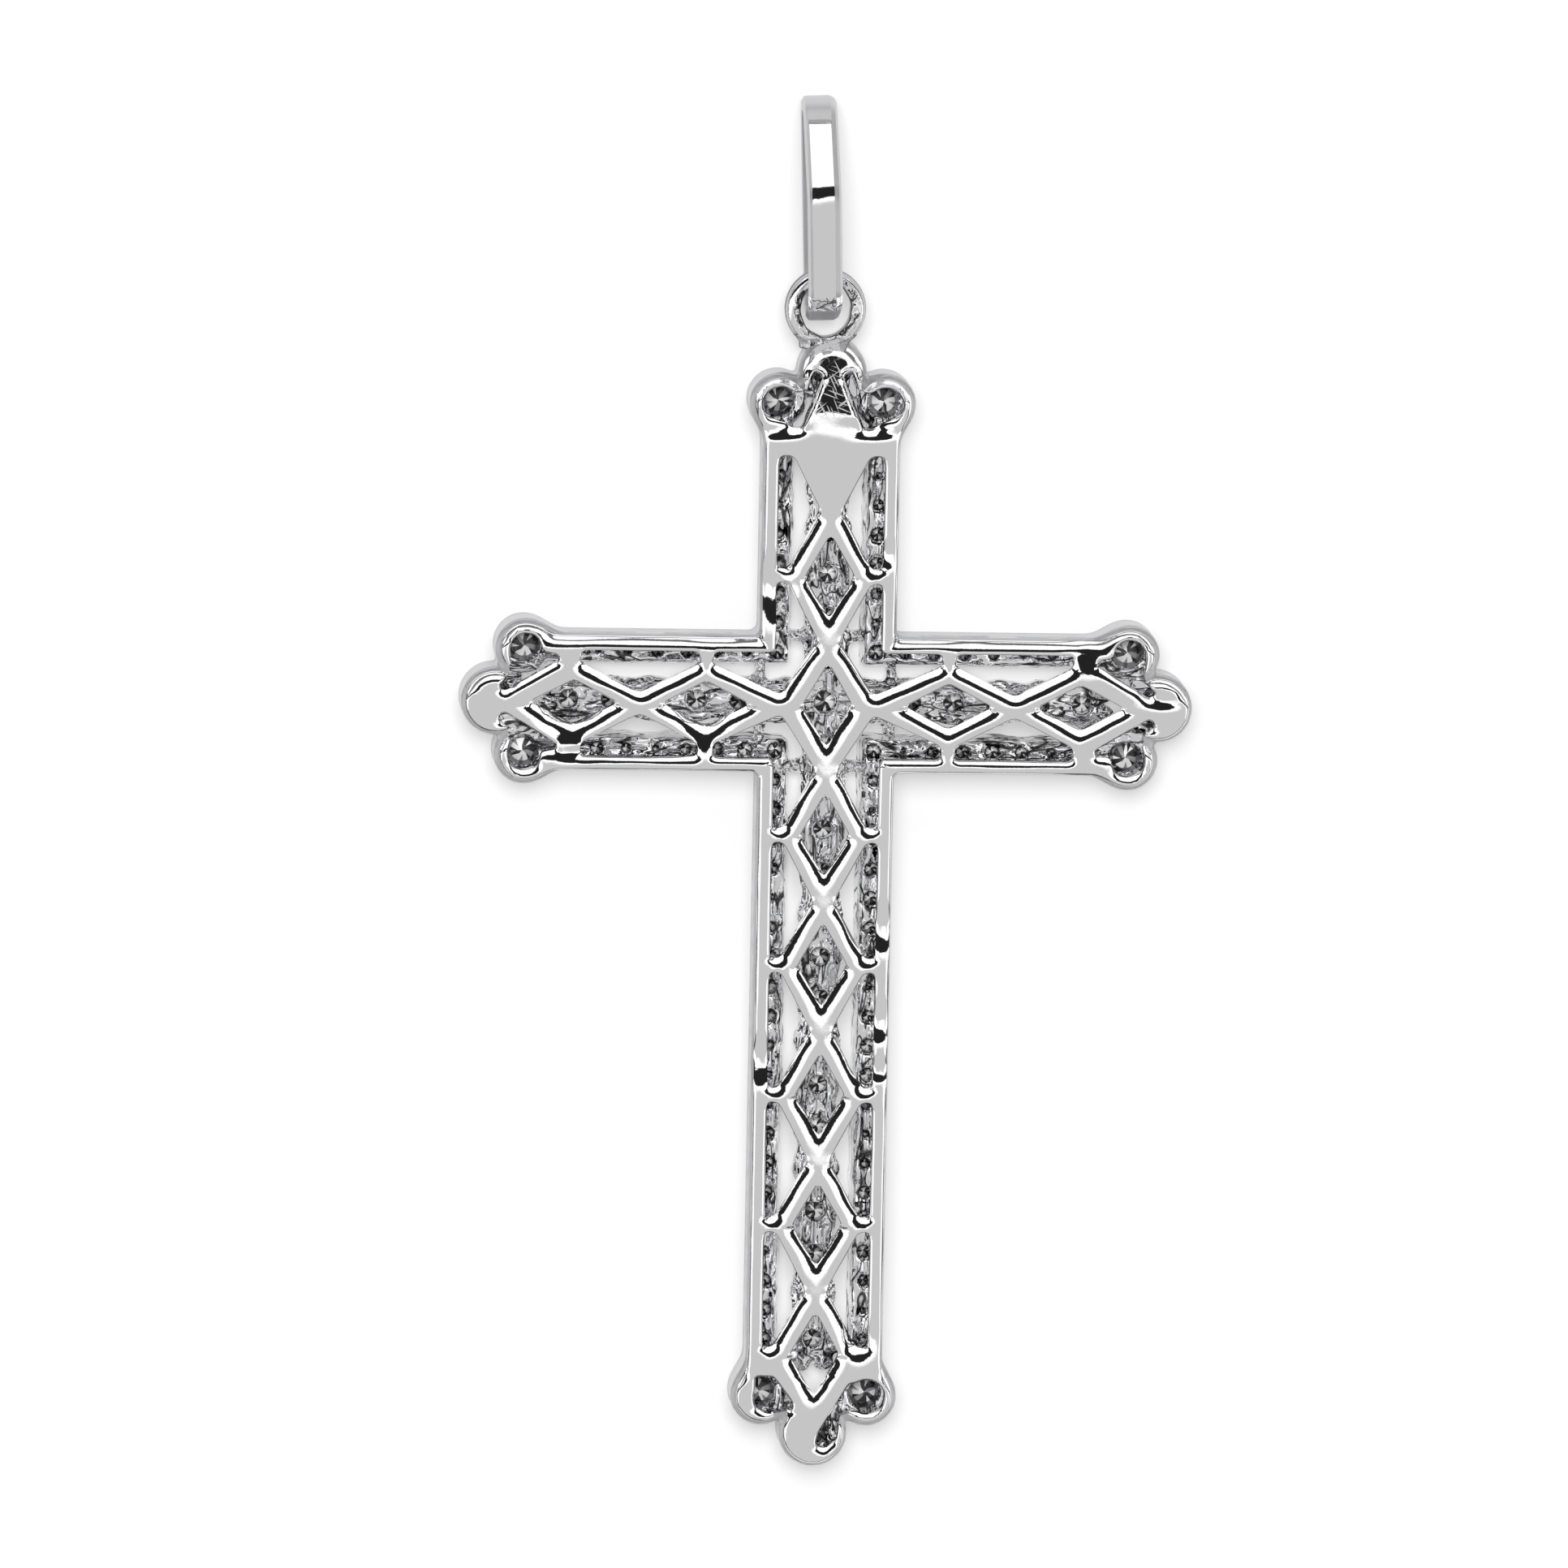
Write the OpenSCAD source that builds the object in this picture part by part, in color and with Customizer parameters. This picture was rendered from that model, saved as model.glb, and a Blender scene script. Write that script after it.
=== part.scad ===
// Cross pendant in polished white gold, lying face down with its openwork back up.
// Millimetres. +Y points to the bail, +Z out of the back, and the front rim lies on z = 0.

/* [Cross] */
// Reach of the side arms and of the top arm from the middle of the cross
arm_reach = 12.8; // [12.6:0.1:13]
// Reach of the stem from the middle of the cross down to its tip
stem_reach = 26.9; // [26.8:0.1:27.1]
// Width of the arms and of the stem over the front setting
arm_w = 4.8; // [4.75:0.05:4.9]
// Depth from the front rim to the polished back
depth = 2.3; // [2.3:0.05:2.5]

/* [Back gallery] */
// Thickness of the gallery plate on the back
gallery_t = 0.55; // [0.45:0.05:0.55]
// Inset of the gallery plate from the side of the setting
gallery_inset = 0.07; // [0.05:0.01:0.12]
// Width of the plain strip along each side of the gallery
strip_w = 0.48; // [0.42:0.01:0.5]
// Width of the lattice's struts
strut_w = 0.62; // [0.56:0.01:0.66]
// Distance from one lozenge of the lattice to the next along the stem
lozenge_pitch = 4.58; // [4.54:0.01:4.6]

/* [Front setting] */
// Thickness of the stone-set front
setting_t = 1; // [0.95:0.05:1.05]
// Width of each stone-set rail
rail_w = 1.2; // [1.18:0.01:1.22]
// Distance from one rail stone to the next
rail_pitch = 1.04; // [1.03:0.01:1.05]
// Half the width of the vine along the middle
vine_half = 0.66; // [0.62:0.01:0.7]
// Distance from one vine stone to the next
vine_pitch = 1.5; // [1.49:0.01:1.51]

/* [Stones] */
// Diameter of the stones in the lobes
lobe_stone_d = 1.3; // [1.2:0.05:1.35]
// Diameter of the stone in the middle of the cross
centre_stone_d = 1.1; // [1:0.05:1.15]
// Diameter of the stones along the vine
vine_stone_d = 0.95; // [0.9:0.05:1]
// Diameter of the stones along the rails
rail_stone_d = 0.8; // [0.75:0.05:0.85]

/* [Bail and eyelet] */
// Outer diameter of the eyelet
eyelet_d = 2.85; // [2.75:0.05:2.95]
// Diameter of the eyelet's hole
eyelet_hole_d = 1.75; // [1.7:0.05:1.8]
// Outer height of the bail
bail_h = 7.9; // [7.7:0.1:8.1]
// Outer depth of the bail, front to back
bail_d = 3.3; // [3.3:0.05:3.6]
// Width of the bail's band
bail_w = 1.2; // [1:0.05:1.2]
// Thickness of the bail's band
bail_t = 0.5; // [0.45:0.01:0.5]

/* [Hidden] */
$fn = 48;

// Lobes at the end of each arm, shared by the setting and the gallery
tip_r = 1.2;
lobe_r = 1.06;
lobe_offset = 1.85;
lobe_back = 1.03;
stem_lobe_back = 1.3;
gallery_lobe_inset = 0.2;
gallery_tip_inset = 0.15;

// Heights and walls
gallery_z = depth - gallery_t;
rim_h = 0.12;
rim_w = 0.15;
wall_t = 0.45;
vine_z = 0.15;

// The eyelet and the bail, measured from the middle of the cross
eyelet_x = -0.3;
eyelet_y = arm_reach + 1.05;
eyelet_z = 1.4;
eyelet_t = 0.68;
eyelet_chamfer = 0.14;
bail_bottom = eyelet_y - 0.46;
bail_turn = 2;
bail_shift = -0.08;
bail_soft = 0.28;
bail_inner_soft = 0.1;
// Side outline of the bail: share of its height from the top, share of its depth from the ground
BAIL_SIDE = [[0.013, 0.1], [0, 0.3], [0.044, 0.48], [0.12, 0.6], [0.41, 0.985], [0.545, 1],
    [0.873, 0.955], [0.943, 0.78], [1, 0.39], [0.98, 0.12], [0.91, 0], [0.075, 0]];
neck = [[-0.95, -1.7], [0.95, -1.7], [0.62, -0.85], [-0.62, -0.85]];

// The part's origin is under the middle of its bounding box
centre_y = (stem_reach - bail_bottom - bail_h) / 2;

// Columns: name, turn of the arm, reach, run from the side lobes' centres to the tip lobe's
ARMS = [
    ["right", 0, arm_reach, lobe_back],
    ["top", 90, arm_reach, lobe_back],
    ["left", 180, arm_reach, lobe_back],
    ["bottom", 270, stem_reach, stem_lobe_back]
];

// Columns: first lozenge's centre, pitch, lozenges, half-length, half-width
LATTICES = [
    [4.25, 4.62, 2, 1.55, 0.82],
    [4.52, lozenge_pitch, 1, 1.5, 0.88],
    [4.25, 4.62, 2, 1.55, 0.82],
    [lozenge_pitch, lozenge_pitch, 5, 1.5, 0.88]
];
centre_lozenge = [0.88, 1.5];
node_half = 0.36;
junction_half = 0.24;
arm_node = [1.62, 0.34];
wedge_end = [8.75, 1.35];
strip_inner = arm_w / 2 - gallery_inset - strip_w;
corner_soft = 0.16;
slot_soft = 0.08;

// Openings beside the lobe stones: points (along, across) from the side lobe's centre
SIDE_SLOT = [[-1.17, -0.37], [-1.1, -0.17], [0, 0], [0.5, -0.17], [0.5, -0.87], [0.93, -1.29], [0.73, -1.49]];
TOP_SLOT = [[-0.85, -0.41], [-0.54, 0.04], [0.3, 0], [0.39, -0.94], [1.1, -1.2], [0.95, -1.46], [-0.85, -0.75]];
STEM_SLOT = [[-0.46, -0.45], [0, 0], [0.45, -0.3], [0.68, -0.95], [1.5, -1.05], [1.85, -1.45],
    [1.7, -1.75], [1.3, -1.68], [-0.46, -0.62]];
STEM_NOOK = [[-0.7, 0.22], [0.35, 0.22], [0.65, -0.27], [0.46, -1.1], [0.2, -1.1], [-0.7, -0.41]];
// Columns: arm, side, outline, radius of the round opening over the stone
SLOTS = [
    [0, -1, SIDE_SLOT, 0.56], [0, 1, SIDE_SLOT, 0.56],
    [1, -1, TOP_SLOT, 0.58], [1, 1, TOP_SLOT, 0.58],
    [2, -1, SIDE_SLOT, 0.56], [2, 1, SIDE_SLOT, 0.56],
    [3, -1, STEM_NOOK, 0.2], [3, 1, STEM_SLOT, 0.62]
];

// Rows of stones on each arm, past the corner on a rail and past the middle on the vine
rail_line = arm_w / 2 - 0.67;
rail_rows = [7, 7, 7, 20];
vine_rows = [6, 6, 6, 15];
main_step = 3;

// Stone proportions as shares of the diameter, and the radii of the holes behind the stones
table_share = 0.57;
crown_share = 0.16;
pavilion_share = 0.43;
facets = 8;
table_z = 0.05;
stone_gap = 0.03;
lobe_hole_r = 0.45;
centre_hole_r = 0.36;
vine_hole_r = 0.3;
rail_hole_r = 0.22;

// Links that tie the vine to the rails near the middle and at its ends, with a pair of curls there
link_u = 2.3;
link_w = 0.36;
end_link_w = 0.4;
curl_r = 0.36;
curl_offset = 0.42;

// Bars between the stones of the vine
vine_bar = [0.9, 0.22];
vine_bar_offset = 0.4;
vine_bar_z = 0.04;

// Long slots in the side walls: start along the arm, length. The stem's walls have one groove
WALL_SLOTS = [[3.35, 2.27], [6.72, 2.27]];
STEM_GROOVE = [4, 18.4];
slot_h = 0.3;
slot_z = 1.15;
slot_deep = 0.18;

function tip_u(i) = ARMS[i][2] - tip_r;
function lobe_u(i) = tip_u(i) - ARMS[i][3];
function girdle_z(d) = table_z + crown_share * d;
function unit(v) = v / norm(v);
function across(points, s) = [for (p = points) [p[0], s * p[1]]];

// Outline with each corner rounded off over the length r
function softened(points, r) = [
    for (i = [0:len(points) - 1])
        let (n = len(points), p = points[i])
        let (from = p + r * unit(points[(i + n - 1) % n] - p), to = p + r * unit(points[(i + 1) % n] - p))
        for (k = [0:3]) let (t = k / 3) (1 - t) * (1 - t) * from + 2 * t * (1 - t) * p + t * t * to
];

// A lozenge's growth from its hole to the outside of its struts
function strut_growth(l) = 1 + strut_w * norm([l[3], l[4]]) / (l[3] * l[4]);
function cell_u(l, k) = l[0] + k * l[1];
function strut_v(l, g) = l[4] * strut_growth(l) * (1 - g / (l[3] * strut_growth(l)));

MAIN_VINE = [for (i = [0:3]) for (k = [main_step:main_step:vine_rows[i]]) [i, k]];
LOBES = [for (i = [0:3]) for (s = [-1, 0, 1]) [i, s]];
function vine_node(m) = str("vine_stone_", ARMS[m[0]][0], "_", m[1] / main_step);
function lobe_node(m) = str("lobe_stone_", ARMS[m[0]][0], "_", ["a", "tip", "b"][m[1] + 1]);

module place() {
    translate([0, centre_y, 0]) children();
}

// Turns a child drawn along +X to lie along arm i
module on_arm(i) {
    rotate(ARMS[i][1]) children();
}

// Outline of the whole cross, pulled in along the arms and round the lobes
module cross_outline(inset, lobe_inset, tip_inset) {
    for (i = [0:3]) on_arm(i) {
        translate([0, inset - arm_w / 2]) square([lobe_u(i), arm_w - 2 * inset]);
        for (s = [-1, 1]) translate([lobe_u(i), s * lobe_offset]) circle(lobe_r - lobe_inset);
        translate([tip_u(i), 0]) circle(tip_r - tip_inset);
        polygon([[lobe_u(i) - 1, -lobe_offset], [lobe_u(i) - inset, -lobe_offset], [tip_u(i) - inset, 0],
            [lobe_u(i) - inset, lobe_offset], [lobe_u(i) - 1, lobe_offset]]);
    }
}

// Space between the rails, closed by the settings of the lobes
module rail_opening() {
    half = arm_w / 2 - rail_w;
    for (i = [0:3]) on_arm(i) difference() {
        translate([0, -half]) square([tip_u(i) - 1, 2 * half]);
        for (s = [-1, 1]) translate([lobe_u(i), s * lobe_offset]) circle(1);
    }
}

// Scalloped vine down the middle, tied to the rails near the middle and at its ends
module vine_outline() {
    for (i = [0:3]) on_arm(i) {
        run = vine_rows[i] * vine_pitch;
        translate([0, -vine_half]) square([run + 0.55, 2 * vine_half]);
        for (k = [0:vine_rows[i]]) translate([k * vine_pitch, 0]) circle(vine_half + 0.13);
        translate([link_u - link_w / 2, -rail_line]) square([link_w, 2 * rail_line]);
        translate([run + 0.1, -rail_line]) square([end_link_w, 2 * rail_line]);
        for (s = [-1, 1]) translate([run + 0.8, s * curl_offset]) circle(curl_r);
    }
}

// Raised bars between the stones of the vine, seen on the front
module vine_bars() {
    for (i = [0:3]) on_arm(i) for (k = [0:vine_rows[i] - 1], s = [-1, 1])
        translate([(k + 0.5) * vine_pitch, s * vine_bar_offset, vine_bar_z]) linear_extrude(vine_z)
            square(vine_bar, center = true);
}

// Sunk floor of the rails and lobes between their raised rims
module sunk_floor() {
    half = arm_w / 2 - rail_w + rim_w;
    difference() {
        cross_outline(rim_w, rim_w, rim_w);
        for (i = [0:3]) on_arm(i) translate([0, -half]) square([lobe_u(i) - 0.7, 2 * half]);
    }
}

module at_rail_stones() {
    for (i = [0:3]) on_arm(i) for (s = [-1, 1], k = [1:rail_rows[i]])
        translate([rail_line + k * rail_pitch, s * rail_line, 0]) children();
    for (a = [-1, 1], b = [-1, 1]) translate([a * rail_line, b * rail_line, 0]) children();
}

module at_small_vine_stones() {
    for (i = [0:3]) on_arm(i) for (k = [1:vine_rows[i]])
        if (k % main_step != 0) translate([k * vine_pitch, 0, 0]) children();
}

module at_main_vine_stone(m) {
    on_arm(m[0]) translate([m[1] * vine_pitch, 0, 0]) children();
}

module at_lobe_stone(m) {
    along = m[1] == 0 ? tip_u(m[0]) : lobe_u(m[0]);
    on_arm(m[0]) translate([along, m[1] * lobe_offset, 0]) children();
}

// Room turned for a stone, open to the back through a round hole
module seat(d, hole_r) {
    girdle = girdle_z(d) + stone_gap;
    r = d / 2 + stone_gap;
    top = girdle + 2 * pavilion_share * (r - hole_r);
    rotate_extrude() polygon([[0, -1], [r, -1], [r, girdle], [hole_r, top],
        [hole_r, setting_t + 1], [0, setting_t + 1]]);
}

module seats() {
    at_rail_stones() seat(rail_stone_d, rail_hole_r);
    at_small_vine_stones() seat(vine_stone_d, vine_hole_r);
    for (m = MAIN_VINE) at_main_vine_stone(m) seat(vine_stone_d, vine_hole_r);
    for (m = LOBES) at_lobe_stone(m) seat(lobe_stone_d, lobe_hole_r);
    seat(centre_stone_d, centre_hole_r);
}

// Stone-set front: rails and lobes with a raised rim, and the vine between the rails
module setting() {
    difference() {
        union() {
            linear_extrude(setting_t) difference() {
                cross_outline(0, 0, 0);
                rail_opening();
            }
            translate([0, 0, vine_z]) linear_extrude(setting_t - vine_z) vine_outline();
            vine_bars();
        }
        translate([0, 0, -1]) linear_extrude(1 + rim_h) sunk_floor();
        seats();
    }
}

// Side walls between the setting and the gallery, with their long slots
module walls() {
    difference() {
        translate([0, 0, setting_t]) linear_extrude(gallery_z - setting_t) difference() {
            cross_outline(0, 0, 0);
            cross_outline(wall_t, wall_t, wall_t);
        }
        for (i = [0:2], s = [-1, 1], slot = WALL_SLOTS) on_arm(i) wall_cut(slot, s);
        for (s = [-1, 1]) on_arm(3) wall_cut(STEM_GROOVE, s);
    }
}

module wall_cut(run, s) {
    translate([run[0] + run[1] / 2, s * arm_w / 2, slot_z + slot_h / 2])
        cube([run[1], 2 * slot_deep, slot_h], center = true);
}

module lozenge(half) {
    polygon(softened([[half[0], 0], [0, half[1]], [-half[0], 0], [0, -half[1]]], corner_soft));
}

// Openings of the lattice along one arm: its lozenges, and the gaps between struts and side strips
module lattice_holes(i) {
    l = LATTICES[i];
    g = junction_half;
    e = strip_inner;
    for (k = [0:l[2] - 1]) translate([cell_u(l, k), 0]) lozenge([l[3], l[4]]);
    if (l[2] > 1) for (k = [0:l[2] - 2], s = [-1, 1]) {
        from = cell_u(l, k) + g;
        to = cell_u(l, k + 1) - g;
        polygon(softened(across([[from, e], [from, strut_v(l, g)], [(from + to) / 2, node_half],
            [to, strut_v(l, g)], [to, e]], s), corner_soft));
    }
}

// Openings in the four corners round the middle of the cross
module corner_holes() {
    x_lattice = LATTICES[0];
    g = junction_half;
    e = strip_inner;
    for (sx = [-1, 1], i = [1, 3]) {
        y_lattice = LATTICES[i];
        x_end = x_lattice[0] - g;
        y_end = y_lattice[0] - g;
        scale_y = i == 1 ? 1 : -1;
        polygon(softened([for (p = [[e, e], [e, y_end], [strut_v(y_lattice, g), y_end],
            [node_half, y_lattice[0] / 2], arm_node, [x_end, strut_v(x_lattice, g)], [x_end, e]])
            [sx * p[0], scale_y * p[1]]], corner_soft));
    }
}

// Openings beside the solid wedge at the head of the top arm
module wedge_holes() {
    l = LATTICES[1];
    from = l[0] + junction_half;
    for (s = [-1, 1]) polygon(softened(across([[from, strip_inner], [from, strut_v(l, junction_half)],
        [l[0] + l[1] / 2, node_half], wedge_end, [wedge_end[0], strip_inner]], s), corner_soft));
}

// Openings in the solid ends, beside and over the lobe stones
module end_slots() {
    for (slot = SLOTS) on_arm(slot[0]) translate([lobe_u(slot[0]), slot[1] * lobe_offset]) {
        polygon(softened(across(slot[2], slot[1]), slot_soft));
        circle(slot[3]);
    }
}

// Polished openwork plate on the back
module gallery() {
    translate([0, 0, gallery_z]) linear_extrude(gallery_t) difference() {
        cross_outline(gallery_inset, gallery_lobe_inset, gallery_tip_inset);
        lozenge(centre_lozenge);
        for (i = [0:3]) on_arm(i) lattice_holes(i);
        corner_holes();
        on_arm(1) wedge_holes();
        end_slots();
    }
}

// Ring soldered to the head of the top arm, with its neck
module eyelet() {
    r = eyelet_d / 2;
    hole = eyelet_hole_d / 2;
    c = eyelet_chamfer;
    h = eyelet_t / 2;
    translate([eyelet_x, eyelet_y, eyelet_z]) {
        rotate_extrude() polygon([[hole, -h + c], [hole + c, -h], [r - c, -h], [r, -h + c],
            [r, h - c], [r - c, h], [hole + c, h], [hole, h - c]]);
        translate([0, 0, -h]) linear_extrude(eyelet_t) polygon(neck);
    }
}

module cross_frame() {
    color("gainsboro") place() {
        setting();
        walls();
        gallery();
        eyelet();
    }
}

function left_of(v) = [-v[1], v[0]];

// Outline pulled in by t, with each corner on the bisector of its two edges
function pulled_in(points, t) = [
    for (i = [0:len(points) - 1])
        let (n = len(points), p = points[i])
        let (a = left_of(unit(p - points[(i + n - 1) % n])), b = left_of(unit(points[(i + 1) % n] - p)))
        p + t * (a + b) / (1 + a * b)
];

// Closed loop that lies on its flat side: blunt at the top, sloped up to a bend, and flat down to the eyelet
module bail() {
    side = [for (p = BAIL_SIDE) [bail_h * (1 - p[0]), bail_d * p[1]]];
    color("gainsboro") place() translate([eyelet_x + bail_shift, eyelet_y, 0]) rotate(bail_turn)
        translate([-bail_w / 2, bail_bottom - eyelet_y, 0]) rotate([90, 0, 90]) linear_extrude(bail_w)
        difference() {
            polygon(softened(side, bail_soft));
            polygon(softened(pulled_in(side, bail_t), bail_inner_soft));
        }
}

// Round brilliant cut in simple form, table down: table, crown facets and pavilion facets
module stone(d) {
    n = facets;
    ring = function (r, z, turn) [for (k = [0:n - 1]) let (a = 360 * (k + turn) / n) [r * cos(a), r * sin(a), z]];
    girdle = girdle_z(d);
    points = concat(ring(table_share * d / 2, table_z, 0), ring(d / 2, girdle, 0),
        [[0, 0, girdle + pavilion_share * d]]);
    polyhedron(points, concat(
        [[for (k = [0:n - 1]) k]],
        [for (k = [0:n - 1]) [k, n + k, n + (k + 1) % n, (k + 1) % n]],
        [for (k = [0:n - 1]) [n + k, 2 * n, n + (k + 1) % n]]
    ));
}

module centre_stone() {
    color("aliceblue") place() stone(centre_stone_d);
}

module vine_stone(m) {
    color("aliceblue") place() at_main_vine_stone(m) stone(vine_stone_d);
}

module lobe_stone(m) {
    color("aliceblue") place() at_lobe_stone(m) stone(lobe_stone_d);
}

module small_vine_stones() {
    color("aliceblue") place() at_small_vine_stones() stone(vine_stone_d);
}

module rail_stones() {
    color("aliceblue") place() at_rail_stones() stone(rail_stone_d);
}

cross_frame();
bail();
centre_stone();
for (m = MAIN_VINE) vine_stone(m);
for (m = LOBES) lobe_stone(m);
small_vine_stones();
rail_stones();
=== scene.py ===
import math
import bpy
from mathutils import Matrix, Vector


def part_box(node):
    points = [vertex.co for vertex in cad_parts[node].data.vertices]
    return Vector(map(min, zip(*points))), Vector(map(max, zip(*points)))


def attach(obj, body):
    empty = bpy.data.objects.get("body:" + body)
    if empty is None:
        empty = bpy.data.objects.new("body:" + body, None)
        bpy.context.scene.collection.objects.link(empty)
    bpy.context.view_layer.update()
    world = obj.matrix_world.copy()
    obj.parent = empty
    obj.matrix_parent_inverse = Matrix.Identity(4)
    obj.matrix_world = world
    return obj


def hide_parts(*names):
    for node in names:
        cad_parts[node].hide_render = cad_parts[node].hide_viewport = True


bl_info = {
    "name": "Cross Pendant",
    "version": (1, 0, 0),
    "blender": (4, 5, 0),
    "location": "View3D > Sidebar > Pendant",
    "description": "Builds a white gold cross pendant that lies with its openwork back up",
    "category": "Add Mesh",
}

import bpy
import numpy as np
from mathutils import Matrix, Vector

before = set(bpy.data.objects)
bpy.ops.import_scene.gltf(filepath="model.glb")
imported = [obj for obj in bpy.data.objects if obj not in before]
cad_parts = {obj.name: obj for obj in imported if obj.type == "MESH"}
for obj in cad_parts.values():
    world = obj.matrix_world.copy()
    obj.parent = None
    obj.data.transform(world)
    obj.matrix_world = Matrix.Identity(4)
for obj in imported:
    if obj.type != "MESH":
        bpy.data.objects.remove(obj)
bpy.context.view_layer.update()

MM = 0.001
BODY = "root"
REACH = 0.9          # how far from an edge its rounding is still felt, mm

# The cross in millimetres from its middle, as the frame has it
low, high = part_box("cross_frame")
ARM_REACH = high.x / MM
DEPTH = high.z / MM
STEM_REACH = 26.9
MIDDLE_Y = low.y / MM + STEM_REACH
ARM_W = 4.8
TIP_R = 1.2
LOBE_R = 1.06
LOBE_OFFSET = 1.85
LOBE_BACK = 1.03
STEM_LOBE_BACK = 1.3
RAIL_W = 1.2
# How widely the outline's creases are filled: between two arms, two lobes, and an arm and its lobes
CROSSING_FILLET = 0.3
LOBE_FILLET = 0.25
HEAD_FILLET = 0.55
WEDGE_BACK = 1        # how far behind the side lobes' centres the metal between the lobes begins
SETTING_T = 1.0
SETTING_INSET = 0.09
GALLERY_T = 0.55
GALLERY_INSET = 0.07
GALLERY_LOBE_INSET = 0.2
GALLERY_TIP_INSET = 0.15
STRIP_W = 0.48
STRUT_W = 0.62
RIM_H = 0.12
RIM_W = 0.15
WALL_T = 0.45
# How far apart the points of each piece's mesh lie, mm
GALLERY_STEP = 0.1
WALL_STEP = 0.12
SETTING_STEP = 0.083
VINE_STEP = 0.06
EYELET_STEP = 0.05

# Columns: name, turn of the arm, reach, run from the side lobes' centres to the tip lobe's
ARMS = [
    ("right", 0, ARM_REACH, LOBE_BACK),
    ("top", 90, ARM_REACH, LOBE_BACK),
    ("left", 180, ARM_REACH, LOBE_BACK),
    ("bottom", 270, STEM_REACH, STEM_LOBE_BACK),
]
# Columns: first lozenge's centre, pitch, lozenges, half-length, half-width
LATTICES = [
    (4.25, 4.62, 2, 1.55, 0.82),
    (4.52, 4.58, 1, 1.5, 0.88),
    (4.25, 4.62, 2, 1.55, 0.82),
    (4.58, 4.58, 5, 1.5, 0.88),
]
CENTRE_LOZENGE = (0.88, 1.5)
NODE_HALF = 0.36      # half-width where two struts cross
JUNCTION_HALF = 0.24  # half-width where two struts meet the strip along the arm's edge
ARM_NODE = (1.62, 0.34)
WEDGE_END = (8.75, 1.35)
CORNER_SOFT = 0.22
SLOT_SOFT = 0.12
SLOT_FILLET = 0.2     # how widely the join of a slot and its round opening is filled
POINTEDNESS = 0.6     # how far the rounding of the edges runs to a point past a lozenge's corners

# Openings beside the lobe stones: points (along, across) from the side lobe's centre
SIDE_SLOT = [(-1.17, -0.37), (-1.1, -0.17), (0, 0), (0.5, -0.17), (0.5, -0.87),
             (0.93, -1.29), (0.73, -1.49)]
TOP_SLOT = [(-0.85, -0.41), (-0.54, 0.04), (0.3, 0), (0.39, -0.94), (1.1, -1.2),
            (0.95, -1.46), (-0.85, -0.75)]
STEM_SLOT = [(-0.46, -0.45), (0, 0), (0.45, -0.3), (0.68, -0.95), (1.5, -1.05), (1.85, -1.45),
             (1.7, -1.75), (1.3, -1.68), (-0.46, -0.62)]
STEM_NOOK = [(-0.7, 0.22), (0.35, 0.22), (0.65, -0.27), (0.46, -1.1), (0.2, -1.1), (-0.7, -0.41)]
# Columns: arm, side, outline, radius of the round opening over the stone
SLOTS = [
    (0, -1, SIDE_SLOT, 0.56), (0, 1, SIDE_SLOT, 0.56),
    (1, -1, TOP_SLOT, 0.58), (1, 1, TOP_SLOT, 0.58),
    (2, -1, SIDE_SLOT, 0.56), (2, 1, SIDE_SLOT, 0.56),
    (3, -1, STEM_NOOK, 0.2), (3, 1, STEM_SLOT, 0.62),
]

# Rows of stones
RAIL_LINE = ARM_W / 2 - 0.67
RAIL_PITCH = 1.04
RAIL_ROWS = (7, 7, 7, 20)
VINE_HALF = 0.66
VINE_PITCH = 1.5
VINE_ROWS = (6, 6, 6, 15)
MAIN_STEP = 3
LOBE_STONE_D = 1.3
CENTRE_STONE_D = 1.1
VINE_STONE_D = 0.95
RAIL_STONE_D = 0.8
# A stone's facets, as shares of its diameter
TABLE_SHARE = 0.57
STAR_SHARE = 0.78
LOWER_SHARE = 0.26
CROWN_SHARE = 0.16
PAVILION_SHARE = 0.43
STAR_RISE = 0.47     # share of the crown's height that the star facets take up
LOWER_RISE = 0.76    # share of the pavilion's height at which its last facets begin
GIRDLE_T = 0.02
TABLE_Z = 0.05
STONE_GAP = 0.03
LOBE_HOLE_R = 0.41
CENTRE_HOLE_R = 0.36
VINE_HOLE_R = 0.3
RAIL_HOLE_R = 0.22
LEAST_RAIL_HOLE = 0.35   # the smallest of the holes behind the rail stones, as a share of the largest
VINE_Z = 0.15
VINE_BULGE = 0.13    # how much wider the vine is at a stone
VINE_END = 0.55      # how far it runs past its last stone
# The links from the vine to the rails, and the curls at its ends past its last stone
LINK_U = 2.3
LINK_W = 0.36
END_LINK_OUT = 0.1
END_LINK_W = 0.4
CURL_R = 0.36
CURL_OUT = 0.8
CURL_OFFSET = 0.42

# Eyelet and bail
EYELET = (-0.3, ARM_REACH + 1.05, 1.4)
EYELET_D = 2.85
EYELET_T = 0.68
BAIL_H = 7.9
BAIL_D = 3.3
BAIL_W = 1.2
BAIL_T = 0.5
BAIL_BOTTOM = EYELET[1] - 0.46
BAIL_TURN = 2
BAIL_SHIFT = -0.08
BAIL_STATIONS = 320
BEND_RUN = 3.4       # how far under its top the near side bends level, mm
BEND_SLANT = 0.17    # rise of the bend towards the right, per mm
# Side outline of the bail. Columns: share of its height from the top, share of its depth from the ground,
# how far the corner is rounded
BAIL_SIDE = [
    (0.013, 0.1, 0.28), (0, 0.3, 0.28), (0.044, 0.48, 0.28), (0.12, 0.6, 0.28), (0.41, 0.985, 0.42),
    (0.545, 1, 0.6), (0.873, 0.955, 0.28), (0.943, 0.78, 0.28), (1, 0.39, 0.28), (0.98, 0.12, 0.28),
    (0.91, 0, 0.28), (0.075, 0, 0.28),
]


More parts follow.
